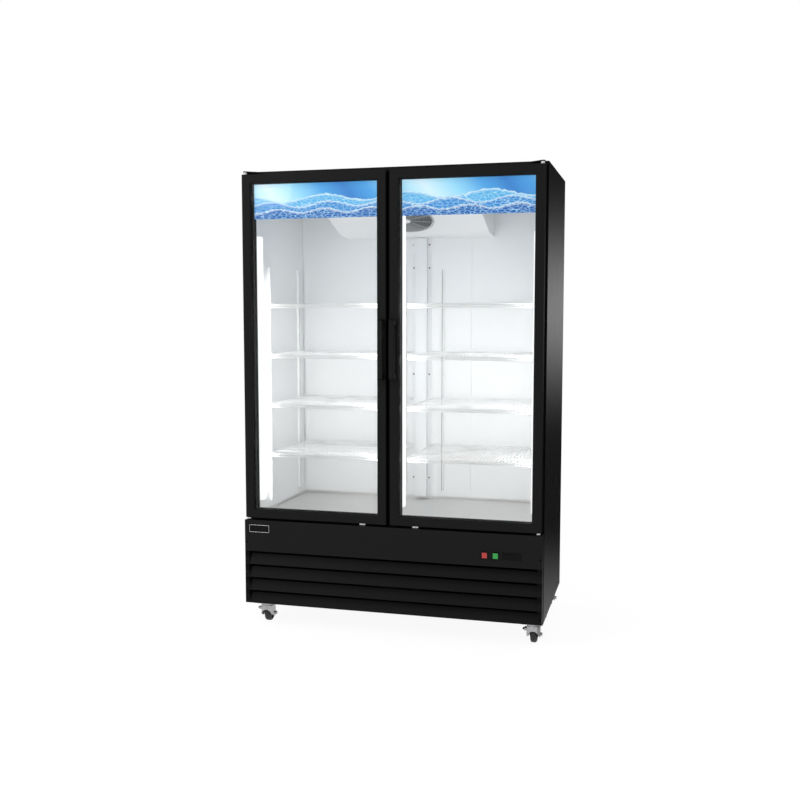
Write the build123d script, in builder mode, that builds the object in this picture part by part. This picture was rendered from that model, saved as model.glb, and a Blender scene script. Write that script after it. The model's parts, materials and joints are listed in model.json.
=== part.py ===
"""Two-door glass merchandiser refrigerator on casters, in millimetres.

The floor is at Z = 0, the doors face -Y, and the origin is under the middle of the whole body.
"""

import os
from math import cos, radians, sin, tan

from build123d import *

os.makedirs("parts", exist_ok=True)

# Overall cabinet
cabinet_width = 1372.0
cabinet_depth = 685.0
cabinet_top = 2077.0
base_underside = 99.0
skin = 1.0
skin_fold = 22.0
side_wall = 48.0
rear_wall = 66.0
ceiling_wall = 54.0
compartment_floor = 510.0
machine_room_top = 460.0
lining = 1.0
seam = 0.2
fit_gap = 0.3
running_clearance = 0.05

# Opening and its black surround
opening_bottom = 536.0
opening_top = 2022.0
surround_depth = 17.0
top_fold = 14.0
jamb_lip = 1.0
mullion_width = 98.5
mullion_stem_width = 40.0
mullion_stem_depth = 41.0

# Doors
door_thickness = 45.0
door_bottom = 508.0
door_top = 2060.0
door_side_inset = 9.0
door_centre_gap = 18.0
door_rail = 40.0
door_head = 42.0
frame_wall = 3.0
frame_bevel = 4.0
glass_setback = 8.0
glass_rebate = 8.0
pane_thickness = 4.0
pane_gap = 14.0
spacer_width = 7.5
gasket_thickness = 6.7
gasket_width = 22.0
gasket_bevel = 2.0
gasket_inset = 10.0
pivot_inset = 12.0
hinge_pin_radius = 4.0
hinge_pin_engagement = 12.0
hinge_plate = 5.0
hinge_plate_tip = 9.0
hinge_plate_reach = 62.0
hinge_plate_root = 8.0
hinge_tab = 4.0
hinge_tab_lap = 3.0
bush_radius = 8.0

# Handles
handle_length = 264.0
handle_width = 24.0
handle_projection = 38.0
handle_bar_thickness = 14.0
handle_foot_height = 24.0
handle_bottom = 1153.0
handle_edge_inset = 5.0
handle_corner = 5.0
handle_end_corner = 6.0

# Locks
lock_centre_x = 122.0
lock_width = 26.0
lock_depth = 22.0
lock_height = 10.5
lock_barrel_radius = 4.2
lock_setback = 14.0
lock_proud = 1.0
keyway_width = 1.2
keyway_height = 6.0
keyway_depth = 5.0
lock_cam_length = 16.0
lock_cam_thickness = 2.0
lock_cam_width = 6.0

# Lower front panel
panel_side_gap = 1.5
panel_bottom = 107.0
panel_top = 496.0
panel_sheet = 1.5
louvre_half_width = 664.0
louvre_count = 4
louvre_pitch = 61.0
louvre_rise = 48.0
louvre_setback = 18.0
louvre_lip = 4.5

# Controls
control_height = 400.5
red_switch_x = 434.0
green_switch_x = 482.0
bezel_width = 36.0
bezel_height = 40.0
bezel_lip = 2.0
switch_body_depth = 26.0
rocker_width = 22.0
rocker_height = 25.0
rocker_tilt = 8.0
rocker_pin_radius = 2.0
controller_x = 552.5
controller_width = 83.0
controller_height = 32.0
controller_lip = 2.5
controller_body_depth = 58.0
display_inset_left = 8.0
display_inset_right = 26.0
display_inset_end = 6.0
display_sink = 1.0

# Shelves
shelf_top_height = 1487.0
shelf_pitch = 231.7
shelf_count = 4
shelf_wire = 4.0
shelf_rail = 6.0
shelf_front_setback = 80.0
shelf_rear_gap = 16.0
shelf_wall_gap = 26.0
shelf_centre_gap = 47.0
shelf_wire_pitch = 31.0
shelf_skirt = 20.0
skirt_legs = 5
standard_width = 16.0
standard_depth = 11.0
standard_sheet = 1.5
standard_bottom = 552.0
standard_top = 1653.0
standard_front_setback = 150.0
standard_rear_setback = 529.0
rear_standard_x = 97.0
mullion_standard_x = 38.0
slot_pitch = 25.4
slot_height = 8.0
slot_width = 3.0
clip_width = 10.0
clip_thickness = 3.0
clip_reach = 8.0

# Lamps
lamp_bottom = 577.0
lamp_top = 1990.0
side_lamp_top = 1790.0
side_lamp_depth = 66.0
side_lamp_thickness = 14.0
mullion_lamp_width = 34.0

# Evaporator under the ceiling
evaporator_left = -387.0
evaporator_right = 354.0
evaporator_front_setback = 180.0
evaporator_slope = 19.5
evaporator_knee_setback = 468.0
evaporator_knee_height = 1826.0
evaporator_rear_height = 1813.0
evaporator_wall = 2.5
evaporator_fan_x = -15.0
evaporator_fan_setback = 320.0
evaporator_fan_opening = 126.0
guard_radius = 132.0
guard_hub_radius = 24.0
guard_ring_count = 4
guard_spokes = 8
guard_wire = 3.0
evaporator_blade_radius = 106.0
fan_blade_thickness = 2.0
fan_blade_pitch = 24.0
fan_hub_radius = 24.0
fan_hub_length = 26.0
fan_blade_height = 15.0
evaporator_fan_depth = 36.0
condenser_fan_depth = 20.0
fan_motor_gap = 2.0
fan_shaft_radius = 4.0
fan_shaft_length = 14.0
evaporator_motor_radius = 40.0
evaporator_motor_length = 46.0

# Rear air duct
duct_centre_x = -8.0
duct_width = 58.0
duct_projection = 24.0
duct_wall = 2.0
duct_flange_left = 23.0
duct_flange_right = 19.0
duct_cap_bottom = 1735.0
duct_cap_flare = 16.0

# Machine under the cooled space
condenser_x = -380.0
condenser_width = 420.0
condenser_height = 270.0
condenser_depth = 44.0
condenser_setback = 40.0
fin_pitch = 20.0
fin_groove = 12.0
coil_tube_radius = 5.0
fin_share = 0.4
shroud_depth = 26.0
condenser_fan_opening = 118.0
condenser_blade_radius = 112.0
condenser_motor_radius = 42.0
condenser_motor_length = 60.0
compressor_x = 130.0
compressor_setback = 380.0
compressor_radius = 85.0
compressor_height = 205.0
compressor_dome = 60.0
compressor_shoulder = 28.0
compressor_foot = 14.0
compressor_plate = 4.0
compressor_foot_radius = 12.0
tray_x = 430.0
tray_width = 340.0
tray_length = 250.0
tray_height = 42.0
tray_wall = 1.5
tray_rear_gap = 60.0
gland_x = -560.0
gland_height = 190.0
gland_radius = 9.0
gland_flange_radius = 14.0
vent_recess = 12.0
vent_slot_length = 150.0
vent_slot_height = 7.0
vent_slot_rows = 7
vent_slot_columns = 5

# Casters
left_caster_x = -606.0
right_caster_x = 641.0
caster_front_setback = 25.0
caster_rear_setback = 608.0
caster_plate_thickness = 3.0
caster_plate_width = 96.0
caster_plate_length = 90.0
wheel_radius = 37.5
wheel_width = 28.0
wheel_shoulder = 7.0
wheel_rim_radius = 27.0
wheel_dish = 5.0
wheel_hub_radius = 13.0
wheel_hub_length = 36.0
caster_trail = 22.0
axle_radius = 5.0
axle_nut_radius = 8.0
axle_nut_length = 7.0
king_pin_radius = 6.0
fork_width = 58.0
fork_length = 56.0
fork_wall = 2.5
fork_shift = 6.0
fork_top = 86.0
fork_bottom = 26.0
fork_corner = 13.0
fork_shoulder = 5.0
fork_roof = 4.0
fork_front_height = 42.0
fork_end_reach = 13.0
arch_inset = 5.0
front_arch_top = 60.0
rear_arch_top = 80.0
lock_bolt_radius = 4.0
lock_bolt_head = 3.0
race_radius = 32.0
race_gap = 0.5
brake_height = 64.0
brake_reach = 13.0
brake_width = 26.0
brake_thickness = 3.5
brake_pin_radius = 3.0
brake_barrel_radius = 5.5

# Planes that the pieces share
half_width = cabinet_width / 2
brake_pin_offset = brake_barrel_radius + 2 * fit_gap
overall_depth = handle_projection + door_thickness + gasket_thickness + fit_gap + cabinet_depth
door_front = -overall_depth / 2 + handle_projection
door_back = door_front + door_thickness
cabinet_front = door_back + gasket_thickness + fit_gap
cabinet_back = cabinet_front + cabinet_depth
surround_back = cabinet_front + surround_depth
inner_side = half_width - side_wall
inner_back = cabinet_back - rear_wall
inner_top = cabinet_top - ceiling_wall
base_sheet = 2 * skin
base_deck = base_underside + base_sheet
door_inner_edge = door_centre_gap / 2
door_outer_edge = half_width - door_side_inset
window_left = door_inner_edge + door_rail
window_right = door_outer_edge - door_rail
window_bottom = door_bottom + door_rail
window_top = door_top - door_head
pivot_x = door_outer_edge - pivot_inset
pivot_y = door_front + pivot_inset


def block(x_limits, y_limits, z_limits, mode=Mode.ADD):
    """A box between two limits along each axis."""
    limits = (x_limits, y_limits, z_limits)
    with Locations(tuple(sum(pair) / 2 for pair in limits)):
        Box(*(abs(pair[1] - pair[0]) for pair in limits), mode=mode)


def rod(start, direction, radius, length, mode=Mode.ADD):
    """A round rod, or a round hole, that starts at a point and runs along a direction."""
    with Locations(Plane(start, z_dir=direction)):
        Cylinder(radius, length, align=(Align.CENTER, Align.CENTER, Align.MIN), mode=mode)


def write(piece, node):
    """Label a finished piece and write it as its own file."""
    piece.part.label = node
    export_step(piece.part, f"parts/{node}.step")


def mirrored(piece):
    """The same piece on the other side of the cabinet."""
    with BuildPart() as twin:
        add(mirror(piece.part, about=Plane.YZ))
    return twin


# Side skins: a flat sheet folded in along the rear edge and beside the lower front panel
with BuildPart() as right_side_panel:
    block((half_width - skin, half_width), (cabinet_front, cabinet_back), (base_underside, cabinet_top))
    block((half_width - skin_fold, half_width - skin), (cabinet_back - skin, cabinet_back),
          (base_underside, cabinet_top - skin))
    block((half_width - skin_fold, half_width - skin), (cabinet_front, cabinet_front + skin),
          (base_underside, machine_room_top - seam))
write(right_side_panel, "right_side_panel")
write(mirrored(right_side_panel), "left_side_panel")

# Top skin, folded down over the head of the opening
skin_inside = half_width - skin - seam
with BuildPart() as top_panel:
    block((-skin_inside, skin_inside), (cabinet_front, cabinet_back - skin),
          (cabinet_top - skin, cabinet_top))
    block((-skin_inside, skin_inside), (cabinet_front, cabinet_front + skin),
          (cabinet_top - top_fold, cabinet_top - skin))
write(top_panel, "top_panel")

# Rear skin of the cooled space
with BuildPart() as back_panel:
    block((-skin_inside, skin_inside), (cabinet_back - 2 * skin, cabinet_back - skin),
          (machine_room_top + seam, cabinet_top - skin - seam))
write(back_panel, "back_panel")

# Louvred cover of the machine room, set in so that the cord gland stays within the depth
vent_back = cabinet_back - vent_recess
with BuildPart() as rear_vent_cover:
    block((-skin_inside, skin_inside), (vent_back - skin, vent_back),
          (base_deck + seam, machine_room_top - seam))
    for side in (-1, 1):
        block((side * skin_inside, side * (skin_inside - skin)), (vent_back, cabinet_back - skin - seam),
              (base_deck + seam, machine_room_top - seam))
    vent_middle = (base_deck + machine_room_top) / 2
    with BuildSketch(Plane((0, vent_back, vent_middle), x_dir=(-1, 0, 0), z_dir=(0, 1, 0))):
        with GridLocations(vent_slot_length * 1.4, vent_slot_height * 3.5, vent_slot_columns, vent_slot_rows):
            Rectangle(vent_slot_length, vent_slot_height)
    extrude(amount=-2 * skin, mode=Mode.SUBTRACT)
    rod((gland_x, vent_back + skin, gland_height), (0, -1, 0), gland_radius, 3 * skin, Mode.SUBTRACT)
write(rear_vent_cover, "rear_vent_cover")

gland_body_radius = gland_radius - fit_gap
with BuildPart() as cord_gland:
    rod((gland_x, vent_back + vent_recess - skin - seam, gland_height), (0, -1, 0),
        gland_flange_radius, vent_recess - skin - 2 * seam)
    rod((gland_x, vent_back + seam, gland_height), (0, -1, 0), gland_body_radius, vent_recess)
    rod((gland_x, cabinet_back, gland_height), (0, -1, 0), gland_radius / 2, 3 * vent_recess, Mode.SUBTRACT)
write(cord_gland, "cord_gland")

# Base pan with upturned edges, and two cross rails under it
with BuildPart() as base_frame:
    base_front = cabinet_front + skin
    base_rear = vent_back - skin - seam
    block((-skin_inside, skin_inside), (base_front, cabinet_back - skin - seam), (base_underside, base_deck))
    block((-skin_inside, skin_inside), (base_front, base_front + base_sheet),
          (base_deck, base_deck + skin_fold))
    for rail_y in (cabinet_front + 0.19 * cabinet_depth, cabinet_front + 0.59 * cabinet_depth):
        block((-skin_inside, skin_inside), (rail_y - skin_fold / 2, rail_y + skin_fold / 2),
              (base_underside - 3.5 * base_sheet, base_underside))
write(base_frame, "base_frame")

# Foam between the skins and the lining
with BuildPart() as foam_insulation:
    block((-skin_inside, skin_inside), (surround_back + seam, cabinet_back - 2 * skin - seam),
          (machine_room_top + seam, cabinet_top - skin - seam))
    cavity_side = inner_side + lining + seam
    block((-cavity_side, cavity_side), (cabinet_front, inner_back + lining + seam),
          (compartment_floor - lining - seam, inner_top + lining + seam), Mode.SUBTRACT)
write(foam_insulation, "foam_insulation")

# White lining sheets, with the vertical seam of the rear wall
rear_seam_x = 244.0
with BuildPart() as inner_liner:
    wall_heights = (compartment_floor + seam, inner_top - seam)
    for side in (-1, 1):
        block((side * inner_side, side * (inner_side + lining)), (surround_back + seam, inner_back - seam),
              wall_heights)
    block((-inner_side, rear_seam_x - seam), (inner_back, inner_back + lining), wall_heights)
    block((rear_seam_x + seam, inner_side), (inner_back, inner_back + lining), wall_heights)
    block((-inner_side, inner_side), (surround_back + seam, inner_back), (inner_top, inner_top + lining))
write(inner_liner, "inner_liner")

# Floor tray with a low upstand along three walls
upstand = 12.0
with BuildPart() as floor_liner:
    tray_side = inner_side - fit_gap
    tray_back = inner_back - fit_gap
    floor_height = (compartment_floor - lining, compartment_floor)
    upstand_height = (compartment_floor, compartment_floor + upstand)
    block((-tray_side, tray_side), (surround_back + seam, tray_back), floor_height)
    for side in (-1, 1):
        block((side * tray_side, side * (tray_side - lining)), (surround_back + seam, tray_back),
              upstand_height)
    block((-tray_side, tray_side), (tray_back - lining, tray_back), upstand_height)
write(floor_liner, "floor_liner")

# Black surround of the opening: head, sill and two jambs
with BuildPart() as breaker_strips:
    strip_depth = (cabinet_front, surround_back)
    block((-skin_inside, skin_inside), strip_depth, (opening_top, cabinet_top - top_fold - seam))
    block((-skin_inside, skin_inside), strip_depth, (machine_room_top, opening_bottom))
    for side in (-1, 1):
        block((side * (inner_side - jamb_lip), side * skin_inside), strip_depth,
              (opening_bottom + seam, opening_top - seam))
write(breaker_strips, "breaker_strips")

# Centre post: a wide front with a stem that carries the lamp covers and the inner standards
mullion_height = opening_top - opening_bottom - 2 * seam
stem_back = surround_back + mullion_stem_depth
with BuildPart() as centre_mullion:
    with BuildSketch(Plane.XY.offset(opening_bottom + seam)):
        with Locations((0, (cabinet_front + surround_back) / 2)):
            Rectangle(mullion_width, surround_depth)
        with Locations((0, (surround_back + stem_back) / 2)):
            Rectangle(mullion_stem_width, mullion_stem_depth)
    extrude(amount=mullion_height)
    fillet(centre_mullion.edges().filter_by(Axis.Z).group_by(Axis.Y)[0], radius=2)
write(centre_mullion, "centre_mullion")

# White lamp covers on the side walls and beside the stem of the centre post
with BuildPart() as interior_lamps:
    with BuildSketch(Plane.XY.offset(lamp_bottom)):
        for side in (-1, 1):
            wall = side * (inner_side - seam)
            face = side * (inner_side - side_lamp_thickness)
            lamp_front = surround_back + seam
            with BuildLine():
                Polyline((wall, lamp_front), (face, lamp_front), (face, lamp_front + 0.6 * side_lamp_depth),
                         (wall, lamp_front + side_lamp_depth), close=True)
            make_face()
    extrude(amount=side_lamp_top - lamp_bottom)
    with BuildSketch(Plane.XY.offset(lamp_bottom)):
        stem_side = mullion_stem_width / 2 + seam
        for side in (-1, 1):
            with Locations((side * (stem_side + mullion_lamp_width / 2), (surround_back + stem_back) / 2)):
                RectangleRounded(mullion_lamp_width, mullion_stem_depth - 2 * seam, 5)
    extrude(amount=lamp_top - lamp_bottom)
write(interior_lamps, "interior_lamps")


# One slotted upright: a channel with a slotted web, at -Y of its two flanges
standard_length = standard_top - standard_bottom
slot_count = int(standard_length / slot_pitch)
with BuildPart() as upright:
    with BuildSketch(Plane.XZ.offset(-standard_sheet)):
        with Locations((0, standard_length / 2)):
            Rectangle(standard_width, standard_length)
            with GridLocations(slot_width, slot_pitch, 1, slot_count):
                Rectangle(slot_width, slot_height, mode=Mode.SUBTRACT)
    extrude(amount=standard_sheet)
    for side in (-1, 1):
        block((side * (standard_width / 2 - standard_sheet), side * standard_width / 2), (0, standard_depth),
              (0, standard_length))


def standard(x, y, facing):
    """An upright that stands at a point with its web turned into the room."""
    return upright.part.rotate(Axis.Z, facing).moved(Location((x, y, standard_bottom)))


# Uprights: the web of each lies standard_depth from the wall that carries it
wall_face = inner_side - seam - standard_depth
standard_front_y = cabinet_front + standard_front_setback
standard_rear_y = cabinet_front + standard_rear_setback
rear_face = inner_back - seam - standard_depth
mullion_face = stem_back + seam + standard_depth
with BuildPart() as shelf_standards:
    for side in (-1, 1):
        for wall_y in (standard_front_y, standard_rear_y):
            add(standard(side * wall_face, wall_y, -90 * side))
        add(standard(side * rear_standard_x, rear_face, 0))
        add(standard(side * (mullion_stem_width / 2 - standard_width / 2 - seam), mullion_face, 180))
write(shelf_standards, "shelf_standards")

# Wire shelves: a deck of wires inside a frame, and a second rail below the front edge
shelf_front = cabinet_front + shelf_front_setback
shelf_back = inner_back - shelf_rear_gap
shelf_inner = shelf_centre_gap
shelf_outer = inner_side - shelf_wall_gap
shelf_width = shelf_outer - shelf_inner
shelf_depth = shelf_back - shelf_front
shelf_heights = [shelf_top_height - level * shelf_pitch for level in range(shelf_count)]
deck_gaps = int((shelf_width - 2 * shelf_rail) / shelf_wire_pitch)
deck_pitch = (shelf_width - 2 * shelf_rail + shelf_wire) / deck_gaps
with BuildPart() as right_shelves:
    for height in shelf_heights:
        centre = ((shelf_inner + shelf_outer) / 2, (shelf_front + shelf_back) / 2, height)
        with BuildSketch(Plane(centre)):
            Rectangle(shelf_width, shelf_depth)
            with GridLocations(deck_pitch, shelf_depth, deck_gaps, 1):
                Rectangle(deck_pitch - shelf_wire, shelf_depth - 2 * shelf_rail, mode=Mode.SUBTRACT)
        extrude(amount=-shelf_wire)
        skirt_limits = (shelf_front, shelf_front + shelf_wire)
        block((shelf_inner, shelf_outer), skirt_limits,
              (height - shelf_skirt, height - shelf_skirt + shelf_wire))
        leg_pitch = (shelf_width - shelf_wire) / (skirt_legs - 1)
        for leg in range(skirt_legs):
            leg_x = shelf_inner + leg * leg_pitch
            block((leg_x, leg_x + shelf_wire), skirt_limits, (height - shelf_skirt, height - shelf_wire))
write(right_shelves, "right_shelves")
write(mirrored(right_shelves), "left_shelves")

# Clips that hang each shelf in the four uprights of its side
with BuildPart() as shelf_clips:
    for height in shelf_heights:
        clip_heights = (height - shelf_wire - seam - clip_thickness, height - shelf_wire - seam)
        for side in (-1, 1):
            for wall_y in (standard_front_y, standard_rear_y):
                block((side * (wall_face - seam), side * (shelf_outer - clip_reach)),
                      (wall_y - clip_width / 2, wall_y + clip_width / 2), clip_heights)
            block((side * (rear_standard_x - clip_width / 2), side * (rear_standard_x + clip_width / 2)),
                  (rear_face - seam, shelf_back - clip_reach), clip_heights)
            block((side * seam * 4, side * (shelf_inner + clip_reach)),
                  (mullion_face + seam, mullion_face + clip_width), clip_heights)
write(shelf_clips, "shelf_clips")

# Evaporator cover: a sloping moulded hood that hangs from the ceiling
slope = radians(evaporator_slope)
hood_front = cabinet_front + evaporator_front_setback
hood_knee = cabinet_front + evaporator_knee_setback
hood_front_height = evaporator_knee_height + (hood_knee - hood_front) * tan(slope)
hood_length = evaporator_right - evaporator_left
hood_centre = (evaporator_left + evaporator_right) / 2
hood_back = inner_back - seam
hood_top = inner_top - seam
fan_y = cabinet_front + evaporator_fan_setback
fan_z = evaporator_knee_height + (hood_knee - fan_y) * tan(slope)
fan_axis = Vector(0, -sin(slope), -cos(slope))
fan_plane = Plane((evaporator_fan_x, fan_y, fan_z), x_dir=(1, 0, 0), z_dir=fan_axis)
with BuildPart() as evaporator_cover:
    with BuildSketch(Plane((hood_centre, 0, 0), x_dir=(0, 1, 0), z_dir=(1, 0, 0))) as hood_section:
        with BuildLine():
            Polyline((hood_front, hood_top), (hood_front, hood_front_height),
                     (hood_knee, evaporator_knee_height), (hood_back, evaporator_rear_height),
                     (hood_back, hood_top), close=True)
        make_face()
    extrude(amount=hood_length / 2, both=True)
    with BuildSketch(Plane((hood_centre, 0, 0), x_dir=(0, 1, 0), z_dir=(1, 0, 0))):
        add(hood_section.sketch_local)
        offset(amount=-evaporator_wall, kind=Kind.INTERSECTION, mode=Mode.REPLACE)
    extrude(amount=hood_length / 2 - evaporator_wall, both=True, mode=Mode.SUBTRACT)
    inside_left = evaporator_left + evaporator_wall
    inside_right = evaporator_right - evaporator_wall
    block((inside_left, inside_right), (hood_front + evaporator_wall, hood_back),
          (hood_top - 3 * evaporator_wall, hood_top), Mode.SUBTRACT)
    rod(fan_plane.origin - fan_axis * 10, fan_axis, evaporator_fan_opening, 20, Mode.SUBTRACT)
    duct_inside = duct_width / 2 - duct_wall
    block((duct_centre_x - duct_inside, duct_centre_x + duct_inside),
          (inner_back - duct_projection + duct_wall, hood_back - evaporator_wall),
          (evaporator_rear_height - 5, evaporator_rear_height + 4 * evaporator_wall), Mode.SUBTRACT)
write(evaporator_cover, "evaporator_cover")

# Fan guard: rings and spokes round a plain hub, on the face of the hood
with BuildPart() as evaporator_fan_guard:
    with BuildSketch(fan_plane.offset(seam)):
        ring_pitch = (guard_radius - guard_hub_radius) / guard_ring_count
        for ring in range(guard_ring_count, 0, -1):
            Circle(guard_hub_radius + ring * ring_pitch)
            Circle(guard_hub_radius + ring * ring_pitch - guard_wire, mode=Mode.SUBTRACT)
        Circle(guard_hub_radius)
        spoke_start = guard_hub_radius - guard_wire
        spoke_end = guard_radius - guard_wire / 2
        with PolarLocations((spoke_start + spoke_end) / 2, guard_spokes):
            Rectangle(spoke_end - spoke_start, guard_wire)
    extrude(amount=guard_wire)
write(evaporator_fan_guard, "evaporator_fan_guard")


def fan_blade(plane, hub_radius, blade_radius, blade_count):
    """A fan on a plane whose normal is its axis, with pitched blades and a shaft behind it."""
    with BuildPart() as fan:
        with BuildSketch(plane):
            Circle(hub_radius)
        extrude(amount=fan_hub_length)
        along = Axis(plane.origin, plane.z_dir)
        chamfer(fan.edges().filter_by(GeomType.CIRCLE).sort_by(along)[-1], length=3)
        with BuildSketch(plane):
            Circle(fan_shaft_radius)
        extrude(amount=-fan_shaft_length)
        for blade in range(blade_count):
            turned = Location((0, 0, fan_blade_height), (0, 0, 360 / blade_count * blade))
            pitched = Plane(plane.location * turned * Location((0, 0, 0), (fan_blade_pitch, 0, 0)))
            with BuildSketch(pitched.offset(-fan_blade_thickness / 2)):
                root = hub_radius - 2 * fan_blade_thickness
                trailing_root = (root, 0.3 * hub_radius)
                leading_tip = (0.72 * blade_radius, -0.3 * blade_radius)
                trailing_tip = (0.9 * blade_radius, 0.22 * blade_radius)
                with BuildLine():
                    Polyline(trailing_root, (root, -0.3 * hub_radius), leading_tip)
                    ThreePointArc(leading_tip, (0.95 * blade_radius, -0.05 * blade_radius), trailing_tip)
                    Line(trailing_tip, trailing_root)
                make_face()
            extrude(amount=fan_blade_thickness)
    return fan


def fan_motor(plane, radius, length, arm_radius, arm_length):
    """A motor behind a fan: a round body with a bore for the shaft and three arms to its mounting ring."""
    with BuildPart() as motor:
        with BuildSketch(plane):
            Circle(radius)
        extrude(amount=-length)
        along = Axis(plane.origin, plane.z_dir)
        chamfer(motor.edges().filter_by(GeomType.CIRCLE).sort_by(along)[0], length=4)
        with BuildSketch(plane):
            with PolarLocations((radius + arm_radius) / 2, 3, start_angle=90):
                Rectangle(arm_radius - radius + 8, 10)
        extrude(amount=-4)
        with BuildSketch(plane):
            with PolarLocations(arm_radius, 3, start_angle=90):
                Rectangle(6, 14)
        extrude(amount=arm_length)
        with BuildSketch(plane):
            Circle(fan_shaft_radius + running_clearance)
        extrude(amount=-fan_shaft_length - 2, mode=Mode.SUBTRACT)
    return motor


# Evaporator fan, behind its guard, and its motor on three arms that stand on the hood
evaporator_fan_plane = fan_plane.offset(-evaporator_fan_depth)
evaporator_fan_blade = fan_blade(evaporator_fan_plane, fan_hub_radius, evaporator_blade_radius, 5)
write(evaporator_fan_blade, "evaporator_fan_blade")
evaporator_fan_motor = fan_motor(
    evaporator_fan_plane.offset(-fan_motor_gap), evaporator_motor_radius, evaporator_motor_length,
    evaporator_fan_opening + 10, evaporator_fan_depth + fan_motor_gap - evaporator_wall - seam)
write(evaporator_fan_motor, "evaporator_fan_motor")


def finned_coil(left, right, front, back, bottom, top, rows):
    """A coil: a comb of fins between two end plates, with the return bends of its tubes outside them."""
    with BuildPart() as coil:
        block((left, right), (front, back), (bottom, top))
        grooves = int((right - left - fin_groove) / fin_pitch)
        middle = ((left + right) / 2, front, (bottom + top) / 2)
        with BuildSketch(Plane(middle, x_dir=(1, 0, 0), z_dir=(0, -1, 0))):
            with GridLocations(fin_pitch, 1, grooves, 1):
                Rectangle(fin_groove, top - bottom - 4 * coil_tube_radius)
        extrude(amount=-(back - front) * fin_share, mode=Mode.SUBTRACT)
        row_pitch = (top - bottom) / rows
        bend_radius = row_pitch / 4
        for row in range(rows):
            for end, outward in ((left, -1), (right, 1)):
                bend = (end, (front + back) / 2, bottom + (row + 0.5) * row_pitch)
                with BuildSketch(Plane(bend, x_dir=(outward, 0, 0), z_dir=(0, 1, 0))):
                    Circle(bend_radius + coil_tube_radius)
                    Circle(bend_radius - coil_tube_radius, mode=Mode.SUBTRACT)
                    with Locations((-row_pitch / 2, 0)):
                        Rectangle(row_pitch, row_pitch, mode=Mode.SUBTRACT)
                extrude(amount=coil_tube_radius, both=True)
    return coil


# Evaporator coil, inside the hood behind the fan
coil_front = hood_knee - 10
coil_back = coil_front + 100
coil_bottom = evaporator_knee_height + 12
evaporator_coil = finned_coil(evaporator_left + 50, evaporator_right - 60, coil_front, coil_back,
                              coil_bottom, hood_top - 20, 3)
write(evaporator_coil, "evaporator_coil")

# Rear air duct: a shallow channel with flanges, and a flared cap under the hood
duct_left = duct_centre_x - duct_width / 2
duct_right = duct_centre_x + duct_width / 2
duct_back = inner_back - seam
duct_face = inner_back - duct_projection
duct_bottom = compartment_floor + upstand + seam
flange_left = duct_left - duct_flange_left
flange_right = duct_right + duct_flange_right
flange_face = duct_back - duct_wall
channel_left = duct_left + duct_wall
channel_right = duct_right - duct_wall
channel_face = duct_face + duct_wall
with BuildPart() as rear_air_duct:
    with BuildSketch(Plane.XY.offset(duct_bottom)):
        with BuildLine():
            Polyline((flange_left, duct_back), (flange_left, flange_face), (duct_left, flange_face),
                     (duct_left, duct_face), (duct_right, duct_face), (duct_right, flange_face),
                     (flange_right, flange_face), (flange_right, duct_back), (channel_right, duct_back),
                     (channel_right, channel_face), (channel_left, channel_face), (channel_left, duct_back),
                     close=True)
        make_face()
    extrude(amount=duct_cap_bottom - duct_bottom)
    cap_top = evaporator_rear_height - seam
    for inset, cut in ((0, Mode.ADD), (duct_wall, Mode.SUBTRACT)):
        depth = duct_projection - seam - inset
        with BuildSketch(Plane.XY.offset(duct_cap_bottom)):
            with Locations((duct_centre_x, duct_back - depth / 2)):
                Rectangle(duct_width - 2 * inset, depth)
        with BuildSketch(Plane.XY.offset(cap_top)):
            with Locations((duct_centre_x - duct_cap_flare / 2, duct_back - depth / 2)):
                Rectangle(duct_width + duct_cap_flare - 2 * inset, depth)
        loft(mode=cut)
write(rear_air_duct, "rear_air_duct")

# Doors: the right door is built, and the left one is its mirror image
unit_thickness = 2 * pane_thickness + pane_gap
unit_front = door_front + glass_setback + seam
groove_depth = (door_front + glass_setback, unit_front + unit_thickness + seam)
channel_lip = glass_rebate + frame_wall
with BuildPart() as right_door_frame:
    block((door_inner_edge, door_outer_edge), (door_front, door_back), (door_bottom, door_top))
    block((window_left, window_right), (door_front, door_back), (window_bottom, window_top), Mode.SUBTRACT)
    window_edges = right_door_frame.faces().sort_by(Axis.Y)[0].inner_wires().edges()
    chamfer(window_edges, length=frame_bevel)
    block((window_left - glass_rebate, window_right + glass_rebate), groove_depth,
          (window_bottom - glass_rebate, window_top + glass_rebate), Mode.SUBTRACT)
    channel_depth = (door_front + frame_wall, door_back)
    for channel_width in ((door_inner_edge + frame_wall, window_left - channel_lip),
                          (window_right + channel_lip, door_outer_edge - frame_wall)):
        block(channel_width, channel_depth, (window_bottom, window_top), Mode.SUBTRACT)
    for channel_height in ((door_bottom + frame_wall, window_bottom - channel_lip),
                           (window_top + channel_lip, door_top - frame_wall)):
        block((window_left, window_right), channel_depth, channel_height, Mode.SUBTRACT)
    for height, direction in ((door_bottom, 1), (door_top, -1)):
        rod((pivot_x, pivot_y, height), (0, 0, direction), hinge_pin_radius + running_clearance,
            hinge_pin_engagement + frame_wall, Mode.SUBTRACT)
write(right_door_frame, "right_door_frame")
write(mirrored(right_door_frame), "left_door_frame")

# Sealed double glazing in the groove of the frame: two panes and the spacer between them
glass_edge = glass_rebate - seam
glass_x = (window_left - glass_edge, window_right + glass_edge)
glass_z = (window_bottom - glass_edge, window_top + glass_edge)
with BuildPart() as right_door_glass:
    block(glass_x, (unit_front, unit_front + unit_thickness), glass_z)
    block((glass_x[0] + spacer_width, glass_x[1] - spacer_width),
          (unit_front + pane_thickness, unit_front + pane_thickness + pane_gap),
          (glass_z[0] + spacer_width, glass_z[1] - spacer_width), Mode.SUBTRACT)
write(right_door_glass, "right_door_glass")
write(mirrored(right_door_glass), "left_door_glass")

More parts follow.
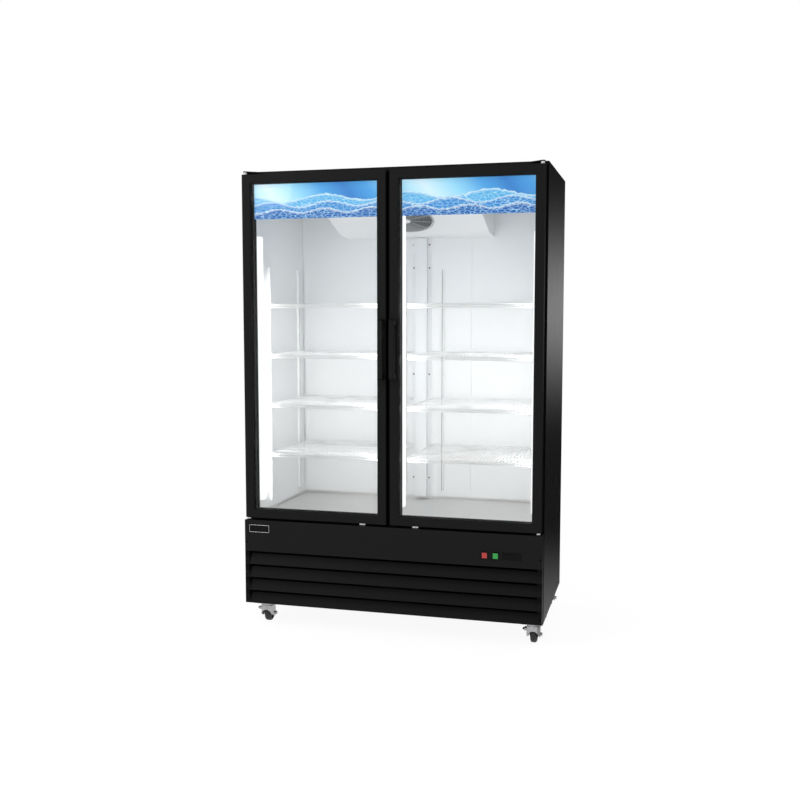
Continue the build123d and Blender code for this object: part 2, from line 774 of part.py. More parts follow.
# Magnetic seal behind the frame
seal_x = (door_inner_edge + gasket_inset, door_outer_edge - gasket_inset)
seal_z = (door_bottom + gasket_inset, door_top - gasket_inset)
with BuildPart() as right_door_gasket:
    block(seal_x, (door_back, door_back + gasket_thickness), seal_z)
    block((seal_x[0] + gasket_width, seal_x[1] - gasket_width), (door_back, door_back + gasket_thickness),
          (seal_z[0] + gasket_width, seal_z[1] - gasket_width), Mode.SUBTRACT)
    seal_face = right_door_gasket.faces().sort_by(Axis.Y)[-1]
    chamfer(seal_face.edges(), length=gasket_bevel)
write(right_door_gasket, "right_door_gasket")
write(mirrored(right_door_gasket), "left_door_gasket")

# Pull handle: a rounded bar on two feet, with the finger gap behind it
handle_centre_x = door_inner_edge + handle_edge_inset + handle_width / 2
handle_middle = handle_bottom + handle_length / 2
with BuildPart() as right_door_handle:
    with BuildSketch(Plane((handle_centre_x, 0, 0), x_dir=(0, 1, 0), z_dir=(1, 0, 0))):
        bar_back = door_front - handle_projection + handle_bar_thickness
        with Locations(((door_front - handle_projection + door_front) / 2, handle_middle)):
            Rectangle(handle_projection, handle_length)
        with Locations(((bar_back + door_front) / 2, handle_middle)):
            Rectangle(door_front - bar_back, handle_length - 2 * handle_foot_height, mode=Mode.SUBTRACT)
    extrude(amount=handle_width / 2, both=True)
    fillet(right_door_handle.edges().filter_by(Axis.Z).group_by(Axis.Y)[0], radius=handle_corner)
    fillet(right_door_handle.edges().filter_by(Axis.X).group_by(Axis.Y)[0], radius=handle_end_corner)
write(right_door_handle, "right_door_handle")
write(mirrored(right_door_handle), "left_door_handle")

# Lock under the bottom rail: a bright housing with a barrel and a cam that turns down
lock_front = door_front + lock_setback
lock_z = door_bottom - lock_height / 2
with BuildPart() as right_lock_body:
    block((lock_centre_x - lock_width / 2, lock_centre_x + lock_width / 2),
          (lock_front, lock_front + lock_depth), (door_bottom - lock_height, door_bottom - seam))
    fillet(right_lock_body.edges().filter_by(Axis.Y), radius=2)
    rod((lock_centre_x, lock_front, lock_z), (0, 1, 0), lock_barrel_radius + running_clearance,
        lock_depth, Mode.SUBTRACT)
write(right_lock_body, "right_lock_body")
write(mirrored(right_lock_body), "left_lock_body")

keyway_front = lock_front - lock_proud
cam_front = lock_front + lock_depth + 2 * fit_gap
with BuildPart() as right_lock_cylinder:
    rod((lock_centre_x, keyway_front, lock_z), (0, 1, 0), lock_barrel_radius, cam_front - keyway_front)
    block((lock_centre_x - lock_cam_width / 2, lock_centre_x + lock_cam_length),
          (cam_front, cam_front + lock_cam_thickness),
          (lock_z - lock_cam_width / 2, lock_z + lock_cam_width / 2))
    block((lock_centre_x - keyway_width / 2, lock_centre_x + keyway_width / 2),
          (keyway_front, keyway_front + keyway_depth),
          (lock_z - keyway_height / 2, lock_z + keyway_height / 2), Mode.SUBTRACT)
write(right_lock_cylinder, "right_lock_cylinder")
write(mirrored(right_lock_cylinder), "left_lock_cylinder")

# Hinge brackets: a tapered plate with its pin and the tab that is screwed to the cabinet
plate_root = pivot_x - hinge_plate_reach
plate_outer = pivot_x + hinge_plate_tip
plate_back = cabinet_front - seam
top_plate_z = cabinet_top - 2 * skin - hinge_plate
bottom_plate_z = panel_top + fit_gap
bottom_plate = hinge_plate - skin
with BuildPart() as right_brackets:
    for plate_z, rise, pin_end, tab_far in (
            (top_plate_z, hinge_plate, door_top - hinge_pin_engagement, door_top + hinge_tab_lap),
            (bottom_plate_z, bottom_plate, door_bottom + hinge_pin_engagement, door_bottom - hinge_tab_lap)):
        with BuildSketch(Plane.XY.offset(plate_z)):
            with BuildLine():
                Polyline((pivot_x, pivot_y - hinge_plate_tip), (plate_root, plate_back - hinge_plate_root),
                         (plate_root, plate_back), (plate_outer, plate_back), (plate_outer, pivot_y))
                TangentArc((plate_outer, pivot_y), (pivot_x, pivot_y - hinge_plate_tip), tangent=(0, -1))
            make_face()
        extrude(amount=rise)
        block((plate_root, plate_outer), (plate_back - hinge_tab, plate_back), (plate_z, tab_far))
        rod((pivot_x, pivot_y, plate_z), (0, 0, 1 if pin_end > plate_z else -1), hinge_pin_radius,
            abs(pin_end - plate_z))
with BuildPart() as hinge_brackets:
    add(right_brackets.part)
    add(mirror(right_brackets.part, about=Plane.YZ))
write(hinge_brackets, "hinge_brackets")

# White bushes round the pins, between each plate and its door
with BuildPart() as hinge_bushes:
    for low, high in ((door_top, top_plate_z), (bottom_plate_z + bottom_plate, door_bottom)):
        for side in (-1, 1):
            base = (side * pivot_x, pivot_y, low + seam)
            rod(base, (0, 0, 1), bush_radius, high - low - 2 * seam)
            rod(base, (0, 0, 1), hinge_pin_radius + running_clearance, high - low - 2 * seam, Mode.SUBTRACT)
write(hinge_bushes, "hinge_bushes")

# Lower front panel: a folded pan whose lower part is four sloping louvre blades
panel_half = half_width - panel_side_gap
panel_back = cabinet_front - seam
louvre_top = panel_bottom + louvre_count * louvre_pitch
switch_hole_width = bezel_width - 8
switch_hole_height = bezel_height - 6
controller_hole_width = controller_width - 10
controller_hole_height = controller_height - 6
with BuildPart() as grille_panel:
    block((-panel_half, panel_half), (door_front, door_front + panel_sheet), (louvre_top, panel_top))
    block((-panel_half, panel_half), (door_front, panel_back), (panel_top - panel_sheet, panel_top))
    for side in (-1, 1):
        block((side * panel_half, side * louvre_half_width), (door_front, door_front + panel_sheet),
              (panel_bottom, louvre_top))
        block((side * panel_half, side * (panel_half - panel_sheet)), (door_front, panel_back),
              (panel_bottom, panel_top))
        block((side * louvre_half_width, side * (louvre_half_width + panel_sheet)),
              (door_front, door_front + louvre_setback + louvre_lip), (panel_bottom, louvre_top))
    for blade in range(louvre_count):
        blade_z = panel_bottom + blade * louvre_pitch
        with BuildSketch(Plane.YZ):
            with BuildLine():
                Polyline((door_front, blade_z), (door_front + louvre_lip, blade_z),
                         (door_front + louvre_lip, blade_z + panel_sheet),
                         (door_front + panel_sheet, blade_z + panel_sheet),
                         (door_front + louvre_setback + panel_sheet, blade_z + louvre_rise),
                         (door_front + louvre_setback, blade_z + louvre_rise), close=True)
            make_face()
        extrude(amount=louvre_half_width + panel_sheet / 2, both=True)
    with BuildSketch(Plane((0, door_front, control_height), x_dir=(1, 0, 0), z_dir=(0, -1, 0))):
        with Locations((red_switch_x, 0), (green_switch_x, 0)):
            Rectangle(switch_hole_width, switch_hole_height)
        with Locations((controller_x, 0)):
            Rectangle(controller_hole_width, controller_hole_height)
    extrude(amount=-panel_sheet, mode=Mode.SUBTRACT)
    for side in (-1, 1):
        block((side * (lock_centre_x - lock_cam_width), side * (lock_centre_x + lock_cam_length + 2)),
              (cam_front - 2, cam_front + lock_cam_thickness + 2), (panel_top - 2 * panel_sheet, panel_top),
              Mode.SUBTRACT)
write(grille_panel, "grille_panel")

# Switch bezels with their housings
rocker_pivot_y = door_front + 5
rocker_room = rocker_height + 5
with BuildPart() as switch_bezels:
    for switch_x in (red_switch_x, green_switch_x):
        block((switch_x - bezel_width / 2, switch_x + bezel_width / 2),
              (door_front - bezel_lip, door_front - seam),
              (control_height - bezel_height / 2, control_height + bezel_height / 2))
        body_half_width = switch_hole_width / 2 - seam
        body_half_height = switch_hole_height / 2 - seam
        block((switch_x - body_half_width, switch_x + body_half_width),
              (door_front - seam, door_front + switch_body_depth),
              (control_height - body_half_height, control_height + body_half_height))
        room_half_width = rocker_width / 2 + fit_gap
        block((switch_x - room_half_width, switch_x + room_half_width),
              (door_front - bezel_lip, door_front + switch_body_depth - 6),
              (control_height - rocker_room / 2, control_height + rocker_room / 2), Mode.SUBTRACT)
        rod((switch_x - body_half_width + 0.5, rocker_pivot_y, control_height), (1, 0, 0),
            rocker_pin_radius + running_clearance, 2 * body_half_width - 1, Mode.SUBTRACT)
write(switch_bezels, "switch_bezels")


def rocker(switch_x):
    """A rocker tipped to its first position, with the pins that it turns on."""
    half = rocker_height / 2
    plane = Plane((switch_x, rocker_pivot_y, control_height), x_dir=(0, 1, 0), z_dir=(1, 0, 0))
    with BuildPart() as key:
        with BuildSketch(Plane(plane.location * Location((0, 0, 0), (0, 0, rocker_tilt)))):
            with BuildLine():
                Polyline((-9, half), (3, half - 4), (3, 4 - half), (-9, -half))
                ThreePointArc((-9, -half), (-7, 0), (-9, half))
            make_face()
        extrude(amount=rocker_width / 2, both=True)
        with BuildSketch(plane):
            Circle(rocker_pin_radius)
        extrude(amount=rocker_width / 2 + 2, both=True)
    return key


write(rocker(red_switch_x), "red_rocker")
write(rocker(green_switch_x), "green_rocker")

# Temperature controller: a bezel with a sunk window and its housing
with BuildPart() as temperature_controller:
    block((controller_x - controller_width / 2, controller_x + controller_width / 2),
          (door_front - controller_lip, door_front - seam),
          (control_height - controller_height / 2, control_height + controller_height / 2))
    fillet(temperature_controller.edges().group_by(Axis.Y)[0], radius=1.5)
    body_half_width = controller_hole_width / 2 - seam
    body_half_height = controller_hole_height / 2 - seam
    block((controller_x - body_half_width, controller_x + body_half_width),
          (door_front - seam, door_front + controller_body_depth),
          (control_height - body_half_height, control_height + body_half_height))
    display_half_height = controller_height / 2 - display_inset_end
    block((controller_x - controller_width / 2 + display_inset_left,
           controller_x + controller_width / 2 - display_inset_right),
          (door_front - controller_lip, door_front - controller_lip + display_sink),
          (control_height - display_half_height, control_height + display_half_height), Mode.SUBTRACT)
write(temperature_controller, "temperature_controller")

# Condenser behind the grille, with its fan shroud, fan and motor
condenser_front = cabinet_front + condenser_setback
condenser_back = condenser_front + condenser_depth
condenser_bottom = base_deck + 12
condenser_top = condenser_bottom + condenser_height
condenser_left = condenser_x - condenser_width / 2
condenser_right = condenser_x + condenser_width / 2
condenser_coil = finned_coil(condenser_left, condenser_right, condenser_front, condenser_back,
                             condenser_bottom, condenser_top, 4)
write(condenser_coil, "condenser_coil")

shroud_front = condenser_back + seam
shroud_back = shroud_front + shroud_depth
condenser_middle = (condenser_bottom + condenser_top) / 2
condenser_fan_plane = Plane((condenser_x, shroud_back + condenser_fan_depth, condenser_middle),
                            x_dir=(1, 0, 0), z_dir=(0, -1, 0))
with BuildPart() as condenser_fan_shroud:
    block((condenser_left, condenser_right), (shroud_front, shroud_back), (condenser_bottom, condenser_top))
    block((condenser_left + base_sheet, condenser_right - base_sheet),
          (shroud_front, shroud_back - base_sheet),
          (condenser_bottom + base_sheet, condenser_top - base_sheet), Mode.SUBTRACT)
    rod((condenser_x, shroud_front, condenser_middle), (0, 1, 0), condenser_fan_opening, shroud_depth + 1,
        Mode.SUBTRACT)
    for side in (-1, 1):
        foot_x = condenser_x + side * (condenser_width / 2 - shroud_depth)
        block((foot_x - shroud_depth / 2, foot_x + shroud_depth / 2), (shroud_front, shroud_back),
              (base_deck + seam, condenser_bottom))
write(condenser_fan_shroud, "condenser_fan_shroud")

condenser_fan_blade = fan_blade(condenser_fan_plane, fan_hub_radius, condenser_blade_radius, 5)
write(condenser_fan_blade, "condenser_fan_blade")
condenser_fan_motor = fan_motor(
    condenser_fan_plane.offset(-fan_motor_gap), condenser_motor_radius, condenser_motor_length,
    condenser_fan_opening + 10, condenser_fan_depth + fan_motor_gap - seam)
write(condenser_fan_motor, "condenser_fan_motor")

# Compressor: a domed welded shell on a foot plate
compressor_y = cabinet_front + compressor_setback
with BuildPart() as compressor:
    foot_top = base_deck + compressor_foot
    rod((compressor_x, compressor_y, foot_top - seam), (0, 0, 1), compressor_radius, compressor_height)
    chamfer(compressor.edges().group_by(Axis.Z)[-1], length=compressor_shoulder, length2=compressor_dome)
    plate_half = 1.15 * compressor_radius
    block((compressor_x - plate_half, compressor_x + plate_half),
          (compressor_y - compressor_radius, compressor_y + compressor_radius),
          (foot_top - compressor_plate, foot_top))
    for corner_x in (-compressor_radius, compressor_radius):
        for corner_y in (-0.8 * compressor_radius, 0.8 * compressor_radius):
            rod((compressor_x + corner_x, compressor_y + corner_y, base_deck + seam), (0, 0, 1),
                compressor_foot_radius, compressor_foot - seam)
write(compressor, "compressor")

# Drain tray, where the melt water dries off
tray_y = cabinet_back - tray_rear_gap - tray_length / 2
tray_z = base_deck + seam
with BuildPart() as drain_tray:
    for inset, bottom, cut in ((0, tray_z, Mode.ADD), (tray_wall, tray_z + tray_wall, Mode.SUBTRACT)):
        block((tray_x - tray_width / 2 + inset, tray_x + tray_width / 2 - inset),
              (tray_y - tray_length / 2 + inset, tray_y + tray_length / 2 - inset),
              (bottom, tray_z + tray_height), cut)
write(drain_tray, "drain_tray")

# Casters
plate_bottom = base_underside - caster_plate_thickness
caster_rows = {"front": cabinet_front + caster_front_setback, "rear": cabinet_front + caster_rear_setback}
caster_columns = {"left": left_caster_x, "right": right_caster_x}
with BuildPart() as caster_plates:
    for caster_y in caster_rows.values():
        for caster_x in caster_columns.values():
            block((max(caster_x - caster_plate_width / 2, -skin_inside),
                   min(caster_x + caster_plate_width / 2, skin_inside)),
                  (caster_y - caster_plate_length / 2, caster_y + caster_plate_length / 2),
                  (plate_bottom, base_underside))
            rod((caster_x, caster_y, plate_bottom), (0, 0, -1), king_pin_radius,
                plate_bottom - fork_top + fork_roof)
write(caster_plates, "caster_plates")


def caster_fork(x, y, has_brake):
    """Stamped yoke: a shell with arched openings front and rear, its ball race, axle and nut."""
    housing_y = y + fork_shift
    axle_y = y + caster_trail
    front_y = housing_y - fork_length / 2
    with BuildPart() as fork:
        with BuildSketch(Plane((x, housing_y, fork_bottom))):
            RectangleRounded(fork_width, fork_length, fork_corner)
        extrude(amount=fork_top - fork_bottom)
        chamfer(fork.edges().group_by(Axis.Z)[-1], length=fork_shoulder)
        with BuildSketch(Plane((x, housing_y, fork_bottom))):
            RectangleRounded(fork_width - 2 * fork_wall, fork_length - 2 * fork_wall, fork_corner - fork_wall)
        extrude(amount=fork_top - fork_bottom - fork_roof, mode=Mode.SUBTRACT)
        arch_radius = fork_width / 2 - arch_inset
        for arch_y, arch_top in ((front_y, front_arch_top), (front_y + fork_length, rear_arch_top)):
            with BuildSketch(Plane((x, arch_y, 0), x_dir=(1, 0, 0), z_dir=(0, -1, 0))):
                with Locations((0, arch_top - arch_radius)):
                    Circle(arch_radius)
                with Locations((0, (arch_top - arch_radius) / 2)):
                    Rectangle(2 * arch_radius, arch_top - arch_radius)
            extrude(amount=fork_corner, both=True, mode=Mode.SUBTRACT)
        with BuildSketch(Plane((x, 0, 0), x_dir=(0, 1, 0), z_dir=(1, 0, 0))):
            with BuildLine():
                foot_y = axle_y - fork_end_reach
                Polyline((front_y - fork_wall, 0), (front_y - fork_wall, fork_front_height),
                         (front_y, fork_front_height), (foot_y, fork_bottom), (foot_y, 0), close=True)
            make_face()
        extrude(amount=fork_width, both=True, mode=Mode.SUBTRACT)
        rod((x, y, fork_top), (0, 0, 1), race_radius, plate_bottom - race_gap - fork_top)
        rod((x, y, fork_top - fork_roof), (0, 0, 1), king_pin_radius + running_clearance,
            plate_bottom - fork_top + fork_roof, Mode.SUBTRACT)
        rod((x, front_y + fork_wall, (front_arch_top + fork_top) / 2), (0, -1, 0), lock_bolt_radius,
            fork_wall + lock_bolt_head)
        rod((x - fork_width / 2 - fork_wall, axle_y, wheel_radius), (1, 0, 0), axle_radius,
            fork_width + 2 * fork_wall)
        with BuildSketch(Plane((x + fork_width / 2 - fork_wall, axle_y, wheel_radius), z_dir=(1, 0, 0))):
            RegularPolygon(axle_nut_radius, 6)
        extrude(amount=axle_nut_length + fork_wall)
        with BuildSketch(Plane((x - fork_width / 2 + fork_wall, axle_y, wheel_radius), z_dir=(-1, 0, 0))):
            Circle(axle_nut_radius)
        extrude(amount=axle_nut_length)
        if has_brake:
            pin_x = x - fork_width / 2 - brake_pin_offset
            for lug_side in (-1, 1):
                lug_inner = housing_y + lug_side * (brake_width / 2 + fit_gap)
                block((pin_x - brake_barrel_radius, x - fork_width / 2 + fork_wall / 2),
                      (lug_inner, lug_inner + lug_side * fork_wall),
                      (brake_height - brake_barrel_radius, brake_height + brake_barrel_radius))
            rod((pin_x, housing_y - brake_width / 2 - fork_wall, brake_height), (0, 1, 0),
                brake_pin_radius, brake_width + 2 * fork_wall)
    return fork


def caster_wheel(x, y):
    """Wheel with bevelled shoulders, dished sides and a bore for the axle."""
    half = wheel_width / 2
    hub_half = wheel_hub_length / 2
    bore = axle_radius + running_clearance
    with BuildPart() as wheel:
        with BuildSketch(Plane((x, y + caster_trail, wheel_radius), x_dir=(0, 1, 0), z_dir=(0, 0, 1))):
            with BuildLine():
                Polyline((bore, 0), (bore, hub_half), (wheel_hub_radius, hub_half),
                         (wheel_hub_radius, half - wheel_dish),
                         (wheel_rim_radius - wheel_dish / 2, half - wheel_dish),
                         (wheel_rim_radius, half), (wheel_radius - wheel_shoulder, half),
                         (wheel_radius - wheel_shoulder / 3, half - wheel_shoulder / 3),
                         (wheel_radius, half - wheel_shoulder), (wheel_radius, 0), close=True)
            make_face()
            mirror(about=Plane.XZ)
        revolve(axis=Axis((x, y + caster_trail, wheel_radius), (1, 0, 0)))
    return wheel


def brake_lever(x, y):
    """Pedal beside the yoke, on a barrel round the brake pin."""
    pin_x = x - fork_width / 2 - brake_pin_offset
    lever_y = y + fork_shift
    with BuildPart() as lever:
        rod((pin_x, lever_y - brake_width / 2, brake_height), (0, 1, 0), brake_barrel_radius, brake_width)
        block((pin_x - brake_reach, pin_x), (lever_y - brake_width / 2, lever_y + brake_width / 2),
              (brake_height - brake_thickness / 2, brake_height + brake_thickness / 2))
        chamfer(lever.edges().filter_by(Axis.Z).group_by(Axis.X)[0], length=brake_thickness)
        rod((pin_x, lever_y - brake_width / 2, brake_height), (0, 1, 0), brake_pin_radius + running_clearance,
            brake_width, Mode.SUBTRACT)
    return lever


for row, caster_y in caster_rows.items():
    for column, caster_x in caster_columns.items():
        braked = row == "front"
        write(caster_fork(caster_x, caster_y, braked), f"{row}_{column}_caster_fork")
        write(caster_wheel(caster_x, caster_y), f"{row}_{column}_caster_wheel")
        if braked:
            write(brake_lever(caster_x, caster_y), f"{column}_brake_lever")
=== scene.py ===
import json
from math import cos, pi, radians, sin

import bmesh
import bpy
from mathutils import Euler, Matrix, Vector


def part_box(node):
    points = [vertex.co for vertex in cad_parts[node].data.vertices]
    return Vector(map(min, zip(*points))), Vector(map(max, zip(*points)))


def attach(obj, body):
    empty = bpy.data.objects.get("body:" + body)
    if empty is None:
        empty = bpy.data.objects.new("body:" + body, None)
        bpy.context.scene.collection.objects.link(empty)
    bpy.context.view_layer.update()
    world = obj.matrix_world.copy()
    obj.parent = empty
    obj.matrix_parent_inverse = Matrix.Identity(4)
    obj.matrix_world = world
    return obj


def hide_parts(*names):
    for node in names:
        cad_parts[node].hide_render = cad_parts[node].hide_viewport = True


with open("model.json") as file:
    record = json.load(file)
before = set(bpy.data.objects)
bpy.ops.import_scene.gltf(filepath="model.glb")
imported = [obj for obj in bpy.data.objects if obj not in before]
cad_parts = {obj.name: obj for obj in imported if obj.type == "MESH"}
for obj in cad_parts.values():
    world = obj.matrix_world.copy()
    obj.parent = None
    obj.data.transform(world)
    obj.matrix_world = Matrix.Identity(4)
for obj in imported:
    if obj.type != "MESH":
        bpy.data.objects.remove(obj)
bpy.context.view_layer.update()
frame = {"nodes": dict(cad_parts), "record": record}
record = frame["record"]
slotOf = {part["node"]: part["material_slot"] for part in record["subparts"]}
bodyOf = {node: body for body, nodes in record["behaviour"]["bodies"].items() for node in nodes}
print("frame loaded with", len(frame["nodes"]), "nodes")


# Nodes and sums

class Wire:
    def __init__(self, socket):
        self.socket = socket

    def __add__(self, other):
        return sumOf("ADD", self, other)

    def __radd__(self, other):
        return sumOf("ADD", other, self)

    def __sub__(self, other):
        return sumOf("SUBTRACT", self, other)

    def __rsub__(self, other):
        return sumOf("SUBTRACT", other, self)

    def __mul__(self, other):
        return sumOf("MULTIPLY", self, other)

    def __rmul__(self, other):
        return sumOf("MULTIPLY", other, self)

    def __truediv__(self, other):
        return sumOf("DIVIDE", self, other)

    def __lt__(self, other):
        return sumOf("LESS_THAN", self, other)


def addNode(tree, kind, settings=None, inputs=None, output=0):
    node = tree.nodes.new(kind)
    for key, value in (settings or {}).items():
        if key == "stops":  # a colour ramp
            elements = node.color_ramp.elements
            while len(elements) < len(value):
                elements.new(1)
            for element, (position, colour) in zip(elements, value):
                element.position, element.color = position, (*colour, 1)
        else:
            setattr(node, key, value)
    for key, value in (inputs or {}).items():
        if isinstance(value, Wire):
            tree.links.new(value.socket, node.inputs[key])
        else:
            node.inputs[key].default_value = value
    if len(node.outputs):
        return Wire(node.outputs[output])


def sumOf(operation, *terms):
    tree = next(term.socket.id_data for term in terms if isinstance(term, Wire))
    return addNode(tree, "ShaderNodeMath", {"operation": operation}, dict(enumerate(terms)))


def limited(value):
    return addNode(value.socket.id_data, "ShaderNodeClamp", None, {"Value": value})


def softStep(value, start, end):
    settings = {"interpolation_type": "SMOOTHSTEP"}
    inputs = {"Value": value, "From Min": start, "From Max": end}
    return addNode(value.socket.id_data, "ShaderNodeMapRange", settings, inputs)


def grey(level):
    return (level, level, level, 1)


def rgb(colour):
    return (*colour, 1) if isinstance(colour, tuple) and len(colour) == 3 else colour


def toned(colour, share):
    return tuple(min(1, channel * share) for channel in colour)


def mixColours(tree, factor, first, second):
    # sockets 6 and 7 of the Mix node are its two colours
    return addNode(tree, "ShaderNodeMix", {"data_type": "RGBA"},
                   {0: factor, 6: rgb(first), 7: rgb(second)}, 2)


def noise(tree, place, scale, detail):
    return addNode(tree, "ShaderNodeTexNoise", None,
                   {"Vector": place, "Scale": scale, "Detail": detail})


def stretched(tree, place, scale):
    return addNode(tree, "ShaderNodeMapping", None, {"Vector": place, "Scale": scale})


def axisOf(tree, place, axis):
    return addNode(tree, "ShaderNodeSeparateXYZ", None, {"Vector": place}, axis)


def bumped(tree, height, distance):
    return addNode(tree, "ShaderNodeBump", None,
                   {"Height": height, "Distance": distance, "Strength": 1.0})


def startMaterial(name):
    material = bpy.data.materials.new(name)
    material.use_nodes = True
    material.node_tree.nodes.clear()
    tree = material.node_tree
    return material, tree, addNode(tree, "ShaderNodeTexCoord", output="Object")


def closeMaterial(tree, shader):
    addNode(tree, "ShaderNodeOutputMaterial", None, {"Surface": shader})


def surface(tree, inputs):
    inputs = {key: rgb(value) for key, value in inputs.items()}
    return addNode(tree, "ShaderNodeBsdfPrincipled", None, inputs)


# Finishes

paints = {
    # grain is the scale of the fine texture, relief its height in metres,
    # and mottle how far the shade changes over a panel
    "blackSteel": {
        "colour": (0.0125, 0.0125, 0.0129), "roughness": 0.27, "specular": 0.05,
        "grain": 900, "relief": 0.000002, "mottle": 0.08, "patchy": 0.03},
    # the grille's black steel, with painted shade on its louvre blades
    "louvreSteel": {
        "colour": (0.0125, 0.0125, 0.0129), "roughness": 0.34, "specular": 0.05,
        "grain": 900, "relief": 0.00002, "mottle": 0.08, "louvres": True},
    "blackProfile": {
        "colour": (0.0115, 0.0115, 0.0118), "roughness": 0.42, "specular": 0.05,
        "grain": 1300, "relief": 0.00001, "mottle": 0.05},
    "blackPlastic": {
        "colour": (0.0105, 0.0105, 0.0108), "roughness": 0.55, "specular": 0.06,
        "grain": 1600, "relief": 0.00003, "mottle": 0.1},
    # the door handles, with painted shade on their ends
    "handlePlastic": {
        "colour": (0.0112, 0.0112, 0.0115), "roughness": 0.5, "specular": 0.06,
        "grain": 1600, "relief": 0.00002, "mottle": 0.1, "ends": (0.0065, 0.0039)},
    # a near-black coat; on the hidden machine parts, the breaker strips and the strip behind the
    # upright slots it is also painted shade
    "darkCoatAndShade": {
        "colour": (0.0035, 0.0035, 0.0036), "roughness": 0.7, "specular": 0.03,
        "grain": 700, "relief": 0.00004, "mottle": 0.2},
    "glossBlack": {
        "colour": (0.002, 0.002, 0.0023), "roughness": 0.1, "specular": 0.1,
        "grain": 300, "relief": 0.000002, "mottle": 0.03},
    "whiteSteel": {
        "colour": (0.83, 0.84, 0.85), "roughness": 0.38, "specular": 0.4,
        "grain": 700, "relief": 0.00002, "mottle": 0.02},
    "whitePlastic": {
        "colour": (0.80, 0.81, 0.82), "roughness": 0.46, "specular": 0.4,
        "grain": 1200, "relief": 0.00002, "mottle": 0.03},
    "whiteCoat": {
        "colour": (0.88, 0.885, 0.89), "roughness": 0.28, "specular": 0.5,
        "grain": 600, "relief": 0.00003, "mottle": 0.02},
    "guardCoat": {
        "colour": (0.40, 0.405, 0.41), "roughness": 0.35, "specular": 0.4,
        "grain": 600, "relief": 0.00003, "mottle": 0.02},
    "greyPlastic": {
        "colour": (0.06, 0.06, 0.063), "roughness": 0.5, "specular": 0.4,
        "grain": 900, "relief": 0.00003, "mottle": 0.1},
    "sealRubber": {
        "colour": (0.006, 0.006, 0.0062), "roughness": 0.75, "specular": 0.04,
        "grain": 1500, "relief": 0.00004, "mottle": 0.12},
    "wheelRubber": {
        "colour": (0.024, 0.024, 0.025), "roughness": 0.48, "specular": 0.35,
        "grain": 800, "relief": 0.00005, "mottle": 0.2},
    "foam": {
        "colour": (0.78, 0.68, 0.42), "roughness": 0.9, "specular": 0.1,
        "grain": 260, "relief": 0.0006, "mottle": 0.15},
    "redLens": {
        "colour": (0.46, 0.03, 0.026), "roughness": 0.22, "specular": 0.5,
        "grain": 300, "relief": 0.00001, "mottle": 0.05, "glow": ((1.0, 0.1, 0.06), 0.06)},
    "greenLens": {
        "colour": (0.02, 0.32, 0.045), "roughness": 0.22, "specular": 0.5,
        "grain": 300, "relief": 0.00001, "mottle": 0.05, "glow": ((0.05, 0.9, 0.2), 0.05)},
}
paintTexture = {
    "grainDetail": 1.5, "broadScale": 9.0, "broadDetail": 3.0,
    "darkTone": 0.8, "lightTone": 1.2,    # the ends of the mottle
    "patchy": 0.12, "grainGloss": 0.04,   # what the broad and the fine texture do to the roughness
    "paintedShadeTone": 0.1,                    # painted shade: what is left of the colour where little light comes
}
# painted shade on the louvre blades: the whole louvre zone darker, each blade more so towards its
# root
louvres = {"bottom": 0.107, "pitch": 0.061, "count": 4,
           "shade": 0.28, "rootShade": 0.62, "rootStart": 0.25, "rootEnd": 0.85}


def paintedFinish(name, look):
    material, tree, place = startMaterial(name)
    grain = noise(tree, place, look["grain"], paintTexture["grainDetail"])
    broad = noise(tree, place, paintTexture["broadScale"], paintTexture["broadDetail"])
    shade = mixColours(tree, (broad - 0.5) * look["mottle"] + 0.5,
                       toned(look["colour"], paintTexture["darkTone"]),
                       toned(look["colour"], paintTexture["lightTone"]))
    # the colour of painted shade, for the louvre blades and the ends of the door handles
    recess = toned(look["colour"], paintTexture["paintedShadeTone"])
    if "louvres" in look:  # painted shade: each blade darkens towards its root, under the lip of the blade above
        rise = (axisOf(tree, place, 2) - louvres["bottom"]) / louvres["pitch"]
        root = softStep(sumOf("FRACT", rise), louvres["rootStart"], louvres["rootEnd"])
        depth = (rise < louvres["count"]) * (root * louvres["rootShade"] + louvres["shade"])
        shade = mixColours(tree, depth, shade, recess)
    if "ends" in look:  # painted shade: the ends of the door handles, which turn back to the door, darken to the shade colour
        low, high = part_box("left_door_handle")
        middle, half = (low.z + high.z) / 2, (high.z - low.z) / 2
        reach = sumOf("ABSOLUTE", axisOf(tree, place, 2) - middle)
        start, end = look["ends"]
        shade = mixColours(tree, softStep(reach, half - start, half - end), shade, recess)
    patches = (broad - 0.5) * look.get("patchy", paintTexture["patchy"])
    roughness = look["roughness"] + patches + (grain - 0.5) * paintTexture["grainGloss"]
    inputs = {"Base Color": shade, "Roughness": roughness, "Specular IOR Level": look["specular"],
              "Normal": bumped(tree, grain, look["relief"])}
    if "glow" in look:
        inputs["Emission Color"], inputs["Emission Strength"] = look["glow"]
    closeMaterial(tree, surface(tree, inputs))
    return material


metals = {
    "zinc": {
        "colour": (0.42, 0.42, 0.43), "roughness": 0.24, "spangle": 90, "contrast": 0.4},
    "brightMetal": {
        "colour": (0.52, 0.52, 0.52), "roughness": 0.2, "spangle": 200, "contrast": 0.06},
    "paleSteel": {
        "colour": (0.74, 0.735, 0.725), "roughness": 0.42, "spangle": 30, "contrast": 0.05,
        "brush": (2.0, 420.0, 420.0)},
    "aluminiumFins": {
        "colour": (0.3, 0.305, 0.31), "roughness": 0.5, "spangle": 60, "contrast": 0.1,
        "brush": (300.0, 300.0, 8.0)},
}
metalTexture = {"fineScale": 400.0, "fineDetail": 2.0, "brushDetail": 3.0, "darkTone": 0.55,
                "spangleGloss": 0.4, "lineGloss": 0.1, "relief": 0.00002}


